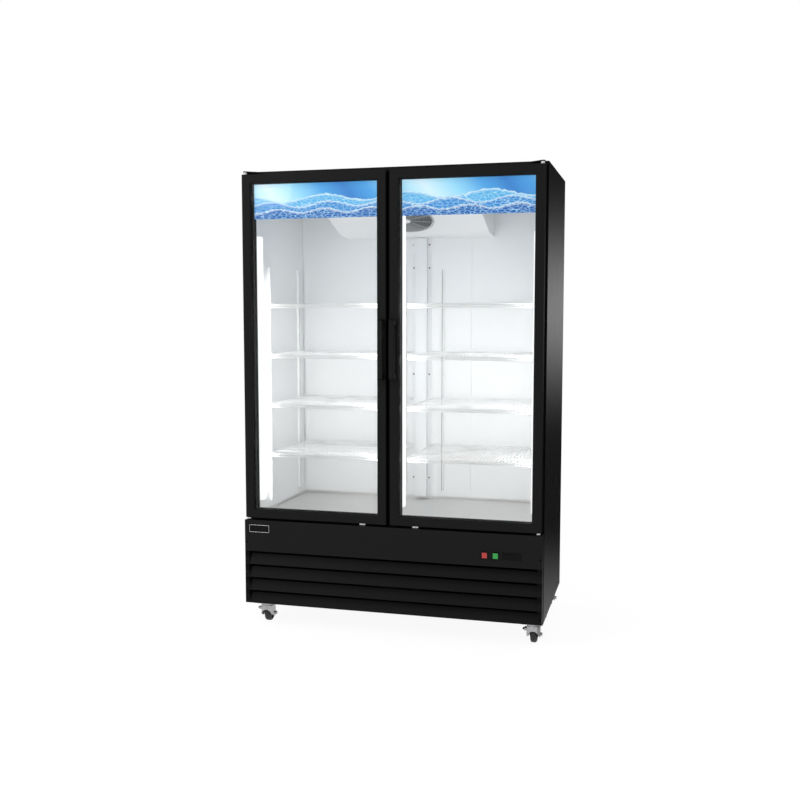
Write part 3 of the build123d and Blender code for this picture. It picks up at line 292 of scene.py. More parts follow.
def metalFinish(name, look):
    material, tree, place = startMaterial(name)
    cells = addNode(tree, "ShaderNodeTexVoronoi", None,
                    {"Vector": place, "Scale": look["spangle"]}, "Color")
    cell = axisOf(tree, cells, 0)
    if "brush" in look:
        lines = noise(tree, stretched(tree, place, look["brush"]), 1.0, metalTexture["brushDetail"])
    else:
        lines = noise(tree, place, metalTexture["fineScale"], metalTexture["fineDetail"])
    colour = mixColours(tree, cell * look["contrast"], look["colour"],
                        toned(look["colour"], metalTexture["darkTone"]))
    spangles = (cell - 0.5) * look["contrast"] * metalTexture["spangleGloss"]
    roughness = look["roughness"] + spangles + (lines - 0.5) * metalTexture["lineGloss"]
    closeMaterial(tree, surface(tree, {
        "Base Color": colour, "Metallic": 1.0, "Roughness": roughness,
        "Normal": bumped(tree, lines, metalTexture["relief"])}))
    return material


glass = {"index": 1.3, "clear": (0.995, 0.998, 0.998), "mirror": (0.96, 0.98, 0.985),
         "roughness": 0.02, "hazeScale": 5.0, "hazeDetail": 3.0, "hazeGloss": 0.02,
         "sheenShare": 0.3, "hazeShare": 0.002}


def glassFinish(name):
    material, tree, place = startMaterial(name)
    sheen = addNode(tree, "ShaderNodeFresnel", None, {"IOR": glass["index"]})
    haze = noise(tree, place, glass["hazeScale"], glass["hazeDetail"])
    clear = addNode(tree, "ShaderNodeBsdfTransparent", None, {"Color": rgb(glass["clear"])})
    # the gloss is a mirror, and the factor says how much of it shows
    gloss = surface(tree, {"Base Color": glass["mirror"], "Metallic": 1.0,
                           "Roughness": glass["roughness"] + haze * glass["hazeGloss"]})
    factor = limited(sheen * glass["sheenShare"] + haze * glass["hazeShare"])
    mixed = addNode(tree, "ShaderNodeMixShader", None, {0: factor, 1: clear, 2: gloss})
    closeMaterial(tree, mixed)
    return material


lampCover = {"colour": (0.6, 0.61, 0.62), "roughness": 0.4, "frostScale": 900.0,
             "frostDetail": 1.0, "relief": 0.00002, "dotPitch": 0.008, "dotShare": 0.12,
             "frostShare": 0.03, "bright": (1.0, 1.0, 1.0), "dim": (0.93, 0.96, 1.0), "glow": 0.85}


def lampFinish(name):
    material, tree, place = startMaterial(name)
    frost = noise(tree, place, lampCover["frostScale"], lampCover["frostDetail"])
    # the row of light-emitting dots shows faintly through the cover
    dots = sumOf("PINGPONG", axisOf(tree, place, 2), lampCover["dotPitch"]) / lampCover["dotPitch"]
    glow = mixColours(tree, dots * lampCover["dotShare"] + frost * lampCover["frostShare"],
                      lampCover["bright"], lampCover["dim"])
    closeMaterial(tree, surface(tree, {
        "Base Color": lampCover["colour"], "Roughness": lampCover["roughness"],
        "Emission Color": glow, "Emission Strength": lampCover["glow"],
        "Normal": bumped(tree, frost, lampCover["relief"])}))
    return material


materials = {name: paintedFinish(name, look) for name, look in paints.items()}
materials.update({name: metalFinish(name, look) for name, look in metals.items()})
materials["clearGlass"] = glassFinish("clearGlass")
materials["lampWhite"] = lampFinish("lampWhite")

finishOfSlot = {
    "black_steel": "blackSteel", "black_profile": "blackProfile", "black_plastic": "blackPlastic",
    "gloss_black": "glossBlack", "white_steel": "whiteSteel", "white_plastic": "whitePlastic",
    "lamp_white": "lampWhite", "pale_steel": "paleSteel", "zinc": "zinc",
    "bright_metal": "brightMetal", "clear_glass": "clearGlass", "seal_rubber": "sealRubber",
    "foam": "foam", "aluminium_fins": "aluminiumFins", "grey_plastic": "greyPlastic",
    "red_plastic": "redLens", "green_plastic": "greenLens", "wheel_rubber": "wheelRubber",
}
# parts in the machine space, under the evaporator hood and at the door reveals: part black coat,
# part painted shade, made near-black for the shade they sit in
darkCoatAndShadeNodes = ["base_frame", "breaker_strips", "drain_tray", "compressor",
             "condenser_coil", "condenser_fan_shroud", "condenser_fan_blade",
             "condenser_fan_motor", "evaporator_coil", "evaporator_fan_blade",
             "evaporator_fan_motor"]
finishOfNode = {"grille_panel": "louvreSteel", "left_door_handle": "handlePlastic",
                "right_door_handle": "handlePlastic", **dict.fromkeys(darkCoatAndShadeNodes, "darkCoatAndShade")}


def finishFor(node):
    return finishOfNode.get(node, finishOfSlot[slotOf[node]])


print("materials made")


# Pieces

def linkPiece(name, mesh, body, finish, stands=()):
    piece = bpy.data.objects.new(name, mesh)
    bpy.context.scene.collection.objects.link(piece)
    mesh.materials.clear()
    mesh.materials.append(materials[finish])
    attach(piece, body)
    if stands:
        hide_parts(*stands)


def evaluatedMesh(piece, name):
    graph = bpy.context.evaluated_depsgraph_get()
    mesh = bpy.data.meshes.new_from_object(piece.evaluated_get(graph), depsgraph=graph)
    mesh.name = name
    bpy.data.objects.remove(piece)
    return mesh


def addBlock(shape, low, high):
    centre = (Vector(low) + Vector(high)) / 2
    size = [abs(b - a) for a, b in zip(low, high)]
    place = Matrix.Translation(centre) @ Matrix.Diagonal((*size, 1))
    bmesh.ops.create_cube(shape, size=1, matrix=place)


def smoothed(mesh, degrees=35):
    mesh.shade_smooth()
    mesh.set_sharp_from_angle(angle=radians(degrees))


def meshOf(name, shape, smooth=None):
    mesh = bpy.data.meshes.new(name)
    shape.to_mesh(mesh)
    shape.free()
    if smooth is not None:
        smoothed(mesh, smooth)
    return mesh


def joinedMesh(name, meshes):
    shape = bmesh.new()
    for mesh in meshes:
        shape.from_mesh(mesh)
    return meshOf(name, shape)


brokenEdge = {"segments": 2, "angle": 30, "weld": 1e-6, "flat": 1}


def beveledMesh(mesh, name, width):
    mesh.shade_smooth()
    piece = bpy.data.objects.new(name, mesh)
    bpy.context.scene.collection.objects.link(piece)
    bevel = piece.modifiers.new("edges", "BEVEL")
    bevel.width, bevel.segments = width, brokenEdge["segments"]
    bevel.limit_method, bevel.angle_limit = "ANGLE", radians(brokenEdge["angle"])
    bevel.use_clamp_overlap = True
    weighted = piece.modifiers.new("normals", "WEIGHTED_NORMAL")  # flat faces stay flat
    weighted.weight, weighted.keep_sharp = 100, False
    return evaluatedMesh(piece, name)


def worked(node, width):
    # a CAD piece with its edges broken, in the same place
    mesh = frame["nodes"][node].data.copy()
    shape = bmesh.new()
    shape.from_mesh(mesh)
    bmesh.ops.remove_doubles(shape, verts=shape.verts, dist=brokenEdge["weld"])
    bmesh.ops.dissolve_limit(shape, angle_limit=radians(brokenEdge["flat"]),
                             verts=shape.verts, edges=shape.edges)
    mesh.clear_geometry()
    shape.to_mesh(mesh)
    shape.free()
    name = "worked_" + node
    made = beveledMesh(mesh, name, width)
    linkPiece(name, made, bodyOf[node], finishFor(node), [node])


# Geometry Nodes

def startTree(name, sizes):
    tree = bpy.data.node_groups.new(name, "GeometryNodeTree")
    kinds = {int: "Int", float: "Float", tuple: "Vector", str: "Object"}
    for way in ("INPUT", "OUTPUT"):
        tree.interface.new_socket("Geometry", in_out=way, socket_type="NodeSocketGeometry")
    for size, value in sizes.items():
        kind = "NodeSocket" + kinds[type(value)]
        socket = tree.interface.new_socket(size, in_out="INPUT", socket_type=kind)
        if not isinstance(value, str):
            socket.default_value = value
    entry = tree.nodes.new("NodeGroupInput")
    return tree, {socket.name: Wire(socket) for socket in entry.outputs if socket.name}


def closeTree(tree, geometry):
    whole = addNode(tree, "GeometryNodeRealizeInstances", None, {"Geometry": geometry})
    coated = addNode(tree, "GeometryNodeSetMaterial", None,
                     {"Geometry": whole, "Material": materials["whiteCoat"]})
    addNode(tree, "NodeGroupOutput", None, {"Geometry": coated})


def wireTree():
    # bends a path into round wire and repeats it in rows
    tree, size = startTree("wireRows", {
        "Wire Radius": 0.0015, "Bend Radius": 0.004, "Bend Points": 4, "Sides": 8,
        "Copies": 1, "Step": (0.0, 0.0, 0.0), "Rows": 1, "Row Step": (0.0, 0.0, 0.0),
        "Turn": (0.0, 0.0, 0.0)})
    path = addNode(tree, "GeometryNodeMeshToCurve", None, {"Mesh": size["Geometry"]})
    bent = addNode(tree, "GeometryNodeFilletCurve", {"mode": "POLY"}, {
        "Curve": path, "Count": size["Bend Points"], "Radius": size["Bend Radius"],
        "Limit Radius": True})
    section = addNode(tree, "GeometryNodeCurvePrimitiveCircle", None, {
        "Resolution": size["Sides"], "Radius": size["Wire Radius"]})
    tube = addNode(tree, "GeometryNodeCurveToMesh", None, {
        "Curve": bent, "Profile Curve": section, "Fill Caps": True})
    geometry = addNode(tree, "GeometryNodeSetShadeSmooth", None, {"Geometry": tube})
    for count, step, turn in (("Copies", "Step", size["Turn"]), ("Rows", "Row Step", None)):
        line = addNode(tree, "GeometryNodeMeshLine", None,
                       {"Count": size[count], "Offset": size[step]})
        place = {"Points": line, "Instance": geometry}
        if turn:  # each copy turns one step further
            index = addNode(tree, "GeometryNodeInputIndex")
            place["Rotation"] = addNode(tree, "ShaderNodeVectorMath", {"operation": "SCALE"},
                                        {0: turn, "Scale": index})
        geometry = addNode(tree, "GeometryNodeInstanceOnPoints", None, place)
    closeTree(tree, geometry)
    return tree


def partTree():
    # sets a made part on each point, turned to the point's facing, and repeats it in a line
    tree, size = startTree("partRows", {"Part": "object", "Copies": 1, "Step": (0.0, 0.0, 0.0)})
    part = addNode(tree, "GeometryNodeObjectInfo", None, {"Object": size["Part"]}, "Geometry")
    line = addNode(tree, "GeometryNodeMeshLine", None,
                   {"Count": size["Copies"], "Offset": size["Step"]})
    facing = addNode(tree, "GeometryNodeInputNamedAttribute", {"data_type": "FLOAT_VECTOR"},
                     {"Name": "facing"})
    turned = addNode(tree, "GeometryNodeInstanceOnPoints", None, {
        "Points": size["Geometry"], "Instance": part, "Rotation": facing})
    geometry = addNode(tree, "GeometryNodeInstanceOnPoints", None,
                       {"Points": line, "Instance": turned})
    closeTree(tree, geometry)
    return tree


trees = {"wires": wireTree(), "parts": partTree()}


def grown(name, treeName, points, edges, values, facings=()):
    mesh = bpy.data.meshes.new(name)
    mesh.from_pydata(points, edges, [])
    if facings:
        attribute = mesh.attributes.new("facing", "FLOAT_VECTOR", "POINT")
        attribute.data.foreach_set("vector", [angle for facing in facings for angle in facing])
    seed = bpy.data.objects.new(name, mesh)
    bpy.context.scene.collection.objects.link(seed)
    modifier = seed.modifiers.new("growth", "NODES")
    modifier.node_group = trees[treeName]
    identifiers = {item.name: item.identifier for item in trees[treeName].interface.items_tree
                   if item.in_out == "INPUT"}
    for key, value in values.items():
        modifier[identifiers[key]] = value
    return evaluatedMesh(seed, name)


def floats(values):
    return tuple(map(float, values))


def wires(points, radius, bend=0.0, closed=False, sides=8, copies=1, step=(0, 0, 0), rows=1,
          rowStep=(0, 0, 0), turn=(0, 0, 0)):
    edges = [(i, i + 1) for i in range(len(points) - 1)]
    if closed:
        edges.append((len(points) - 1, 0))
    return grown("wire", "wires", points, edges, {
        "Wire Radius": radius, "Bend Radius": bend, "Sides": sides, "Copies": copies,
        "Step": floats(step), "Rows": rows, "Row Step": floats(rowStep), "Turn": floats(turn)})


def repeated(partMesh, points, facings, copies=1, step=(0, 0, 0)):
    part = bpy.data.objects.new("part", partMesh)
    bpy.context.scene.collection.objects.link(part)
    mesh = grown("parts", "parts", points, [],
                 {"Part": part, "Copies": copies, "Step": floats(step)}, facings)
    bpy.data.objects.remove(part)
    return mesh


facingFront = (pi / 2, 0.0, 0.0)  # turns a part that is made facing up


# Camera, light and floor

camera = {"place": (1.1711, -4.5407, 1.4480), "yaw": 14.90, "pitch": -5.038, "lens": 44.85,
          "sensor": 36, "reach": 60}


def makeCamera():
    data = bpy.data.cameras.new("camera")
    data.lens, data.sensor_width = camera["lens"], camera["sensor"]
    data.clip_end = camera["reach"]
    seen = bpy.data.objects.new("camera", data)
    seen.location = camera["place"]
    seen.rotation_euler = (radians(90 + camera["pitch"]), 0, radians(camera["yaw"]))
    bpy.context.scene.collection.objects.link(seen)
    bpy.context.scene.camera = seen


studio = {
    "world": 0.65,       # what lights the object
    "floorSize": 30.0,
    "paper": 0.95,
    "floorGlow": 0.93,   # what the floor adds to its own shade, so that it reads white
    "floorShade": 0.12,
    "key": {"place": (-2.6, -3.2, 3.4), "aim": (0, 0, 1.0), "size": 2.4, "power": 60},
}
# a card beside the side panel, which shows only where the object mirrors it
card = {
    "near": 0.69, "far": 3.6, "front": -0.6, "back": 4.0, "bottom": 0.002, "top": 3.6,
    "peak": 1.48, "spread": 1.32, "low": 0.02, "high": 0.84,     # the bright band across it
    "foot": 0.5, "footReach": 2.2, "footTop": 0.01,              # the part that lies on the floor
}


def shownRays(tree):
    path = tree.nodes.new("ShaderNodeLightPath")
    seen = ("Is Camera Ray", "Is Glossy Ray", "Is Transmission Ray")
    shown = [Wire(path.outputs[name]) for name in seen]
    return limited(shown[0] + shown[1] + shown[2])


def stagePiece(name, points, faces, material, hiddenFrom=()):
    mesh = bpy.data.meshes.new(name)
    mesh.from_pydata(points, [], faces)
    mesh.materials.append(material)
    piece = bpy.data.objects.new(name, mesh)
    bpy.context.scene.collection.objects.link(piece)
    for rays in hiddenFrom:
        setattr(piece, "visible_" + rays, False)


def makeWorld():
    bpy.context.scene.view_settings.view_transform = "Standard"
    world = bpy.data.worlds.new("studio")
    bpy.context.scene.world = world
    world.use_nodes = True
    tree = world.node_tree
    tree.nodes.clear()
    strength = shownRays(tree) * (1 - studio["world"]) + studio["world"]
    light = addNode(tree, "ShaderNodeBackground", None, {"Color": grey(1), "Strength": strength})
    addNode(tree, "ShaderNodeOutputWorld", None, {"Surface": light})


def makeFloor():
    material, tree, _ = startMaterial("floorPaper")
    plain = addNode(tree, "ShaderNodeBsdfDiffuse", None, {"Color": grey(studio["paper"])})
    glow = addNode(tree, "ShaderNodeEmission", None,
                   {"Color": grey(1), "Strength": studio["floorGlow"]})
    shaded = addNode(tree, "ShaderNodeBsdfDiffuse", None, {"Color": grey(studio["floorShade"])})
    lit = addNode(tree, "ShaderNodeAddShader", None, {0: glow, 1: shaded})
    closeMaterial(tree, addNode(tree, "ShaderNodeMixShader", None,
                                {0: shownRays(tree), 1: plain, 2: lit}))
    half = studio["floorSize"] / 2
    corners = [(-half, -half, 0), (half, -half, 0), (half, half, 0), (-half, half, 0)]
    stagePiece("floor", corners, [(0, 1, 2, 3)], material)


def makeKey():
    key = studio["key"]
    data = bpy.data.lights.new("key", "AREA")
    data.size, data.energy = key["size"], key["power"]
    lamp = bpy.data.objects.new("key", data)
    lamp.location = key["place"]
    aim = Vector(key["aim"]) - Vector(key["place"])
    lamp.rotation_euler = aim.to_track_quat("-Z", "Y").to_euler()
    bpy.context.scene.collection.objects.link(lamp)


def makeCard():
    material, tree, place = startMaterial("sideCardPaper")
    depth, height = axisOf(tree, place, 1), axisOf(tree, place, 2)
    band = softStep(sumOf("ABSOLUTE", height - card["peak"]), card["spread"], 0.0)
    foot = (limited((card["footReach"] - depth) / card["footReach"])
            * (height < card["footTop"]))
    level = card["low"] + band * band * card["high"] + foot * foot * card["foot"]
    closeMaterial(tree, addNode(tree, "ShaderNodeEmission", None,
                                {"Color": grey(1), "Strength": level}))
    near, far, front, back = card["near"], card["far"], card["front"], card["back"]
    bottom, top = card["bottom"], card["top"]
    corners = [(near, front, bottom), (far, front, bottom), (far, back, bottom),
               (near, back, bottom), (far, back, top), (near, back, top), (far, front, top)]
    stagePiece("sideCard", corners, [(0, 1, 2, 3), (3, 2, 4, 5), (1, 6, 4, 2)], material,
               ("camera", "diffuse", "transmission", "shadow"))


makeCamera()
makeWorld()
makeFloor()
makeKey()
makeCard()
print("camera and studio ready")


# Casing, doors and other pieces that keep their shape

for node, cadObject in frame["nodes"].items():
    cadObject.data.materials.clear()
    cadObject.data.materials.append(materials[finishFor(node)])
    smoothed(cadObject.data)

edgeWidths = {
    "left_side_panel": 0.0009, "right_side_panel": 0.0009, "top_panel": 0.0009,
    "back_panel": 0.0004, "base_frame": 0.0006, "breaker_strips": 0.001,
    "centre_mullion": 0.0008, "left_door_frame": 0.001, "right_door_frame": 0.001,
    "grille_panel": 0.0005, "hinge_brackets": 0.0006, "hinge_bushes": 0.0006,
    "evaporator_cover": 0.003, "rear_air_duct": 0.0007, "switch_bezels": 0.0008,
    "temperature_controller": 0.0005, "floor_liner": 0.0003, "inner_liner": 0.0003,
    "interior_lamps": 0.0012,
}
for node, width in edgeWidths.items():
    worked(node, width)
print("edges broken")


# Shelves

shelf = {
    "levels": 4, "levelPitch": 0.2317,
    "rail": 0.003, "railSides": 12, "corner": 0.012,
    "deckWire": 0.0017, "deckSides": 8, "deckPitch": 0.0154, "bend": 0.004,
    "crossWire": 0.0022, "crossSides": 10, "crossWires": 4,
    "skirtRail": 0.003, "skirtDrop": 0.020,
}


def makeShelves(side):
    node, name = side + "_shelves", side + "ShelfWires"
    low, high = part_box(node)
    top, rail, wire, cross = high.z, shelf["rail"], shelf["deckWire"], shelf["crossWire"]
    drop = {"rows": shelf["levels"], "rowStep": (0, 0, -shelf["levelPitch"])}
    railZ = top - wire * 2 - rail
    left, right = low.x + rail, high.x - rail
    front, back = low.y + wire, high.y - rail
    outline = wires([(left, front + rail, railZ), (right, front + rail, railZ),
                     (right, back, railZ), (left, back, railZ)],
                    rail, shelf["corner"], closed=True, sides=shelf["railSides"], **drop)

    # deck wires run back to front and turn down over the front rail
    gaps = round((right - left - 2 * rail) / shelf["deckPitch"])
    pitch = (right - left - 2 * rail) / gaps
    skirtZ = top - shelf["skirtDrop"] + shelf["skirtRail"]
    start = left + rail
    deck = wires([(start, back, top - wire), (start, front, top - wire), (start, front, skirtZ)],
                 wire, shelf["bend"], sides=shelf["deckSides"], copies=gaps + 1,
                 step=(pitch, 0, 0), **drop)

    crossPitch = (back - front) / (shelf["crossWires"] + 1)
    crossY, crossZ = front + crossPitch, top - 2 * wire - cross
    crossings = wires([(left, crossY, crossZ), (right, crossY, crossZ)], cross,
                      sides=shelf["crossSides"], copies=shelf["crossWires"],
                      step=(0, crossPitch, 0), **drop)

    skirtY = front + wire + shelf["skirtRail"]
    skirt = wires([(left - rail / 2, skirtY, skirtZ), (right + rail / 2, skirtY, skirtZ)],
                  shelf["skirtRail"], sides=shelf["railSides"], **drop)
    mesh = joinedMesh(name, [outline, deck, crossings, skirt])
    linkPiece(name, mesh, "cabinet", "whiteCoat", [node])


for side in ("left", "right"):
    makeShelves(side)
print("shelves made")


# Slotted uprights

upright = {
    "width": 0.016, "depth": 0.011, "sheet": 0.0015, "bottom": 0.552, "top": 1.653,
    "pitch": 0.0127, "slotWidth": 0.0056, "slotHeight": 0.0066,
    "shadeSheet": 0.0008, "shadeSheetGap": 0.0003,  # painted shade: a dark strip behind the slots, where there is only the shade inside the channel
    "places": [  # x, y and the way that the slots face
        (0.6268, -0.1475, -90), (0.6268, 0.2315, -90),
        (-0.6268, -0.1475, 90), (-0.6268, 0.2315, 90),
        (0.097, 0.3103, 0), (-0.097, 0.3103, 0),
        (0.0118, -0.2283, 180), (-0.0118, -0.2283, 180)],
}


def uprightCell():
    # one pitch of the channel: a web with its slot, and the two flanges
    half, pitch, sheet = upright["width"] / 2, upright["pitch"], upright["sheet"]
    slotX, slotZ, middle = upright["slotWidth"] / 2, upright["slotHeight"] / 2, pitch / 2
    shape = bmesh.new()
    addBlock(shape, (-half, 0, 0), (-slotX, sheet, pitch))
    addBlock(shape, (slotX, 0, 0), (half, sheet, pitch))
    addBlock(shape, (-slotX, 0, 0), (slotX, sheet, middle - slotZ))
    addBlock(shape, (-slotX, 0, middle + slotZ), (slotX, sheet, pitch))
    for side in (-1, 1):
        addBlock(shape, (side * half, sheet, 0),
                 (side * (half - sheet), upright["depth"], pitch))
    # cells meet end to end, so their end faces go
    touching = 1e-5
    ends = [face for face in shape.faces if abs(face.normal.z) > 0.9
            and not touching <= face.calc_center_median().z <= pitch - touching]
    bmesh.ops.delete(shape, geom=ends, context="FACES")
    return meshOf("uprightCell", shape)


def makeUprights():
    length = upright["top"] - upright["bottom"]
    points = [(x, y, upright["bottom"]) for x, y, _ in upright["places"]]
    facings = [(0.0, 0.0, radians(turn)) for _, _, turn in upright["places"]]
    mesh = repeated(uprightCell(), points, facings, round(length / upright["pitch"]),
                    (0, 0, upright["pitch"]))
    linkPiece("slottedUprights", mesh, "cabinet", "whiteCoat", ["shelf_standards"])

    # painted shade: a dark strip behind each row of slots
    shape = bmesh.new()
    inside = upright["width"] / 2 - upright["sheet"]
    behind = upright["sheet"] + upright["shadeSheetGap"]
    addBlock(shape, (-inside, behind, 0), (inside, behind + upright["shadeSheet"], length))
    mesh = repeated(meshOf("shadeStripMesh", shape), points, facings)
    linkPiece("uprightBackings", mesh, "cabinet", "darkCoatAndShade")


makeUprights()
print("uprights made")


# Fan guard

guard = {
    "radius": 0.132, "tilt": 19.5, "out": -0.001, "dome": 0.006,
    "wire": 0.0018, "rim": 0.0022, "sides": 6, "rings": 11, "circlePoints": 48,
    "spokes": 10, "spokeWire": 0.00234, "spokeHeights": (0.0058, 0.004, 0.0),
    "hub": 0.024, "hubLip": 0.001, "hubTaper": 0.003, "hubDepth": 0.004, "hubHeight": 0.0065,
    "hubSegments": 40, "hubSmooth": 40,
}


def guardPlace():
    # a matrix whose Z runs along the fan's axis, out into the room
    low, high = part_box("evaporator_fan_guard")
    tilt = radians(guard["tilt"])
    axis = Vector((0, -sin(tilt), -cos(tilt)))
    turn = axis.to_track_quat("Z", "X").to_matrix().to_4x4()
    return Matrix.Translation((low + high) / 2 + axis * guard["out"]) @ turn


def makeFanGuard():
    hub, radius = guard["hub"], guard["radius"]
    meshes = []
    for ring in range(guard["rings"] + 1):
        reach = hub + ring * (radius - hub) / guard["rings"]
        wire = guard["rim"] if ring in (0, guard["rings"]) else guard["wire"]
        height = guard["dome"] * (1 - (reach / radius) ** 2)
        angles = [2 * pi * i / guard["circlePoints"] for i in range(guard["circlePoints"])]
        points = [(reach * cos(angle), reach * sin(angle), height) for angle in angles]
        meshes.append(wires(points, wire, closed=True, sides=guard["sides"]))
    behind = 2 * guard["wire"]
    spoke = [(reach, 0, height - behind) for reach, height in
             zip((hub, (hub + radius) / 2, radius), guard["spokeHeights"])]
    meshes.append(wires(spoke, guard["spokeWire"], sides=guard["sides"], copies=guard["spokes"],
                        turn=(0, 0, 2 * pi / guard["spokes"])))

    shape = bmesh.new()
    bmesh.ops.create_cone(shape, cap_ends=True, segments=guard["hubSegments"],
                          radius1=hub + guard["hubLip"], radius2=hub - guard["hubTaper"],
                          depth=guard["hubDepth"],
                          matrix=Matrix.Translation((0, 0, guard["hubHeight"])))
    mesh = meshOf("fanGuardHub", shape, guard["hubSmooth"])
    mesh.transform(guardPlace())
    linkPiece("fanGuardHub", mesh, "cabinet", "whiteCoat")
    mesh = joinedMesh("fanGuardWires", meshes)
    mesh.transform(guardPlace())
    linkPiece("fanGuardWires", mesh, "cabinet", "guardCoat",
              ["evaporator_fan_guard"])


makeFanGuard()
print("fan guard made")


# Door glass and the header print

glazing = {
    "pane": 0.004, "paneEdge": 0.0006, "spacer": 0.0075, "spacerEdge": 0.0008,
    "leftPrint": (-0.630, -0.0565), "rightPrint": (0.0575, 0.6345),  # from x to x
    "printBottom": 1.863, "printThickness": 0.0003, "printGap": 0.0002, "printMargin": 0.001,
}


def makeGlazing(side):
    low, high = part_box(side + "_door_glass")
    body, pane, spacer = side + "_door", glazing["pane"], glazing["spacer"]
    for name, front, stands in ((side + "FrontPane", low.y, [side + "_door_glass"]),
                                (side + "RearPane", high.y - pane, ())):
        shape = bmesh.new()
        addBlock(shape, (low.x, front, low.z), (high.x, front + pane, high.z))
        mesh = beveledMesh(meshOf(name, shape), name, glazing["paneEdge"])
        linkPiece(name, mesh, body, "clearGlass", stands)

    name = side + "GlassSpacer"
    shape = bmesh.new()
    front, back = low.y + pane, high.y - pane
    for start, end in ((low.x, low.x + spacer), (high.x - spacer, high.x)):
        addBlock(shape, (start, front, low.z), (end, back, high.z))
    for start, end in ((low.z, low.z + spacer), (high.z - spacer, high.z)):
        addBlock(shape, (low.x + spacer, front, start), (high.x - spacer, back, end))
    mesh = beveledMesh(meshOf(name, shape), name, glazing["spacerEdge"])
    linkPiece(name, mesh, body, "darkCoatAndShade")

    name = side + "HeaderPrint"
    shape = bmesh.new()
    start, end = glazing[side + "Print"]
    front = high.y + glazing["printGap"]
    addBlock(shape, (start, front, glazing["printBottom"]),
             (end, front + glazing["printThickness"], high.z - spacer - glazing["printMargin"]))
    linkPiece(name, meshOf(name, shape), body, "headerPrint")


# pale winter water: a sky that fades across, and swells with ripples below
water = {
    "height": 0.15,
    "skyLean": 0.8, "skyStart": 0.05, "skyWidth": 0.36,
    "sky": [(0.0, (0.03, 0.22, 0.62)), (0.3, (0.07, 0.38, 0.80)),
            (0.65, (0.32, 0.72, 0.96)), (1.0, (0.68, 0.90, 1.0))],
    "swells": [  # level, swing, waves, phase and tone
        (0.62, 0.10, 17.0, 0.3, (0.10, 0.45, 0.80)),
        (0.44, 0.08, 23.0, 1.7, (0.03, 0.25, 0.65)),
        (0.25, 0.06, 29.0, 4.0, (0.01, 0.12, 0.45))],
    "rough": 0.12, "roughScale": 60.0, "roughDetail": 4.0, "edge": 0.02,
    "foam": (0.85, 0.96, 1.0), "foamWidth": 0.09, "foamShare": 0.8,
    "ripple": (0.5, 0.82, 0.97), "rippleWidth": 0.10, "rippleShare": 0.8,
    "rippleScale": 42.0, "rippleStretch": (1.0, 1.0, 2.6),
    "film": 0.45, "roughness": 0.35, "specular": 0.3, "glow": 0.66,  # painted light: the print glows as if lit from behind
}


def headerFinish(name):
    material, tree, place = startMaterial(name)
    across, height = axisOf(tree, place, 0), axisOf(tree, place, 2)
    rise = (height - glazing["printBottom"]) / water["height"]
    lean = across + height * water["skyLean"] + water["skyStart"]
    fade = sumOf("PINGPONG", lean, water["skyWidth"]) / water["skyWidth"]
    colour = addNode(tree, "ShaderNodeValToRGB", {"stops": water["sky"]}, {"Fac": fade})
    cells = addNode(tree, "ShaderNodeTexVoronoi", {"feature": "DISTANCE_TO_EDGE"}, {
        "Vector": stretched(tree, place, water["rippleStretch"]), "Scale": water["rippleScale"]})
    fine = noise(tree, place, water["roughScale"], water["roughDetail"])
    for level, swing, waves, phase, tone in water["swells"]:
        crest = (level + swing * sumOf("SINE", across * waves + phase)
                 + (fine - 0.5) * water["rough"])
        depth = crest - rise
        inside = softStep(depth, 0.0, water["edge"])
        foam = softStep(depth, water["foamWidth"], 0.0) * inside
        lines = softStep(cells, water["rippleWidth"], 0.0)
        wet = mixColours(tree, lines * water["rippleShare"], tone, water["ripple"])
        wet = mixColours(tree, foam * water["foamShare"], wet, water["foam"])
        colour = mixColours(tree, inside, colour, wet)
    # the glow is painted light on the print, which is no lamp
    closeMaterial(tree, surface(tree, {
        "Base Color": mixColours(tree, water["film"], colour, (0, 0, 0)),
        "Roughness": water["roughness"], "Specular IOR Level": water["specular"],
        "Emission Color": colour, "Emission Strength": water["glow"]}))
    return material


materials["headerPrint"] = headerFinish("headerPrint")
for side in ("left", "right"):
    makeGlazing(side)
print("doors glazed")


# Small fittings

screws = {
    "radius": 0.0042, "height": 0.0016, "segments": 16, "smooth": 50,
    "crown": 0.6, "recess": 0.25, "recessDepth": 0.4,  # shares of the radius and the height
    "ductY": 0.3175,
    "duct": [(x, z) for x in (-0.05, 0.03) for z in (1.781, 1.667, 1.138, 0.615)],
    "panel": [(-0.676, 0.392), (0.676, 0.392), (-0.676, 0.128), (0.676, 0.128)],
}


def screwHead():
    # a tapered head with a round recess, facing up
    shape = bmesh.new()
    radius, height = screws["radius"], screws["height"]
    bmesh.ops.create_cone(shape, cap_ends=True, segments=screws["segments"], radius1=radius,
                          radius2=radius * screws["crown"], depth=height,
                          matrix=Matrix.Translation((0, 0, height / 2)))
    top = [face for face in shape.faces if face.normal.z > 0.9]
    bmesh.ops.inset_region(shape, faces=top, thickness=radius * screws["recess"],
                           depth=-height * screws["recessDepth"])
    return meshOf("screwHead", shape, screws["smooth"])


def makeScrews():
    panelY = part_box("grille_panel")[0].y
    for name, places, y, finish, slot in (
            ("ductScrews", screws["duct"], screws["ductY"], "greyPlastic", "zinc"),
            ("panelScrews", screws["panel"], panelY, "darkCoatAndShade", "black_steel")):
        points = [(x, y, z) for x, z in places]
        mesh = repeated(screwHead(), points, [facingFront] * len(points))
        linkPiece(name, mesh, "cabinet", finish)


def fixedBlock(name, low, high, edge, finish):
    # a plain block with broken edges on the cabinet
    shape = bmesh.new()
    addBlock(shape, low, high)
    mesh = beveledMesh(meshOf(name, shape), name, edge)
    linkPiece(name, mesh, "cabinet", finish)


seam = {"x": 0.241, "width": 0.006, "rise": 0.0025, "bottom": 0.56, "top": 2.02, "edge": 0.0004}


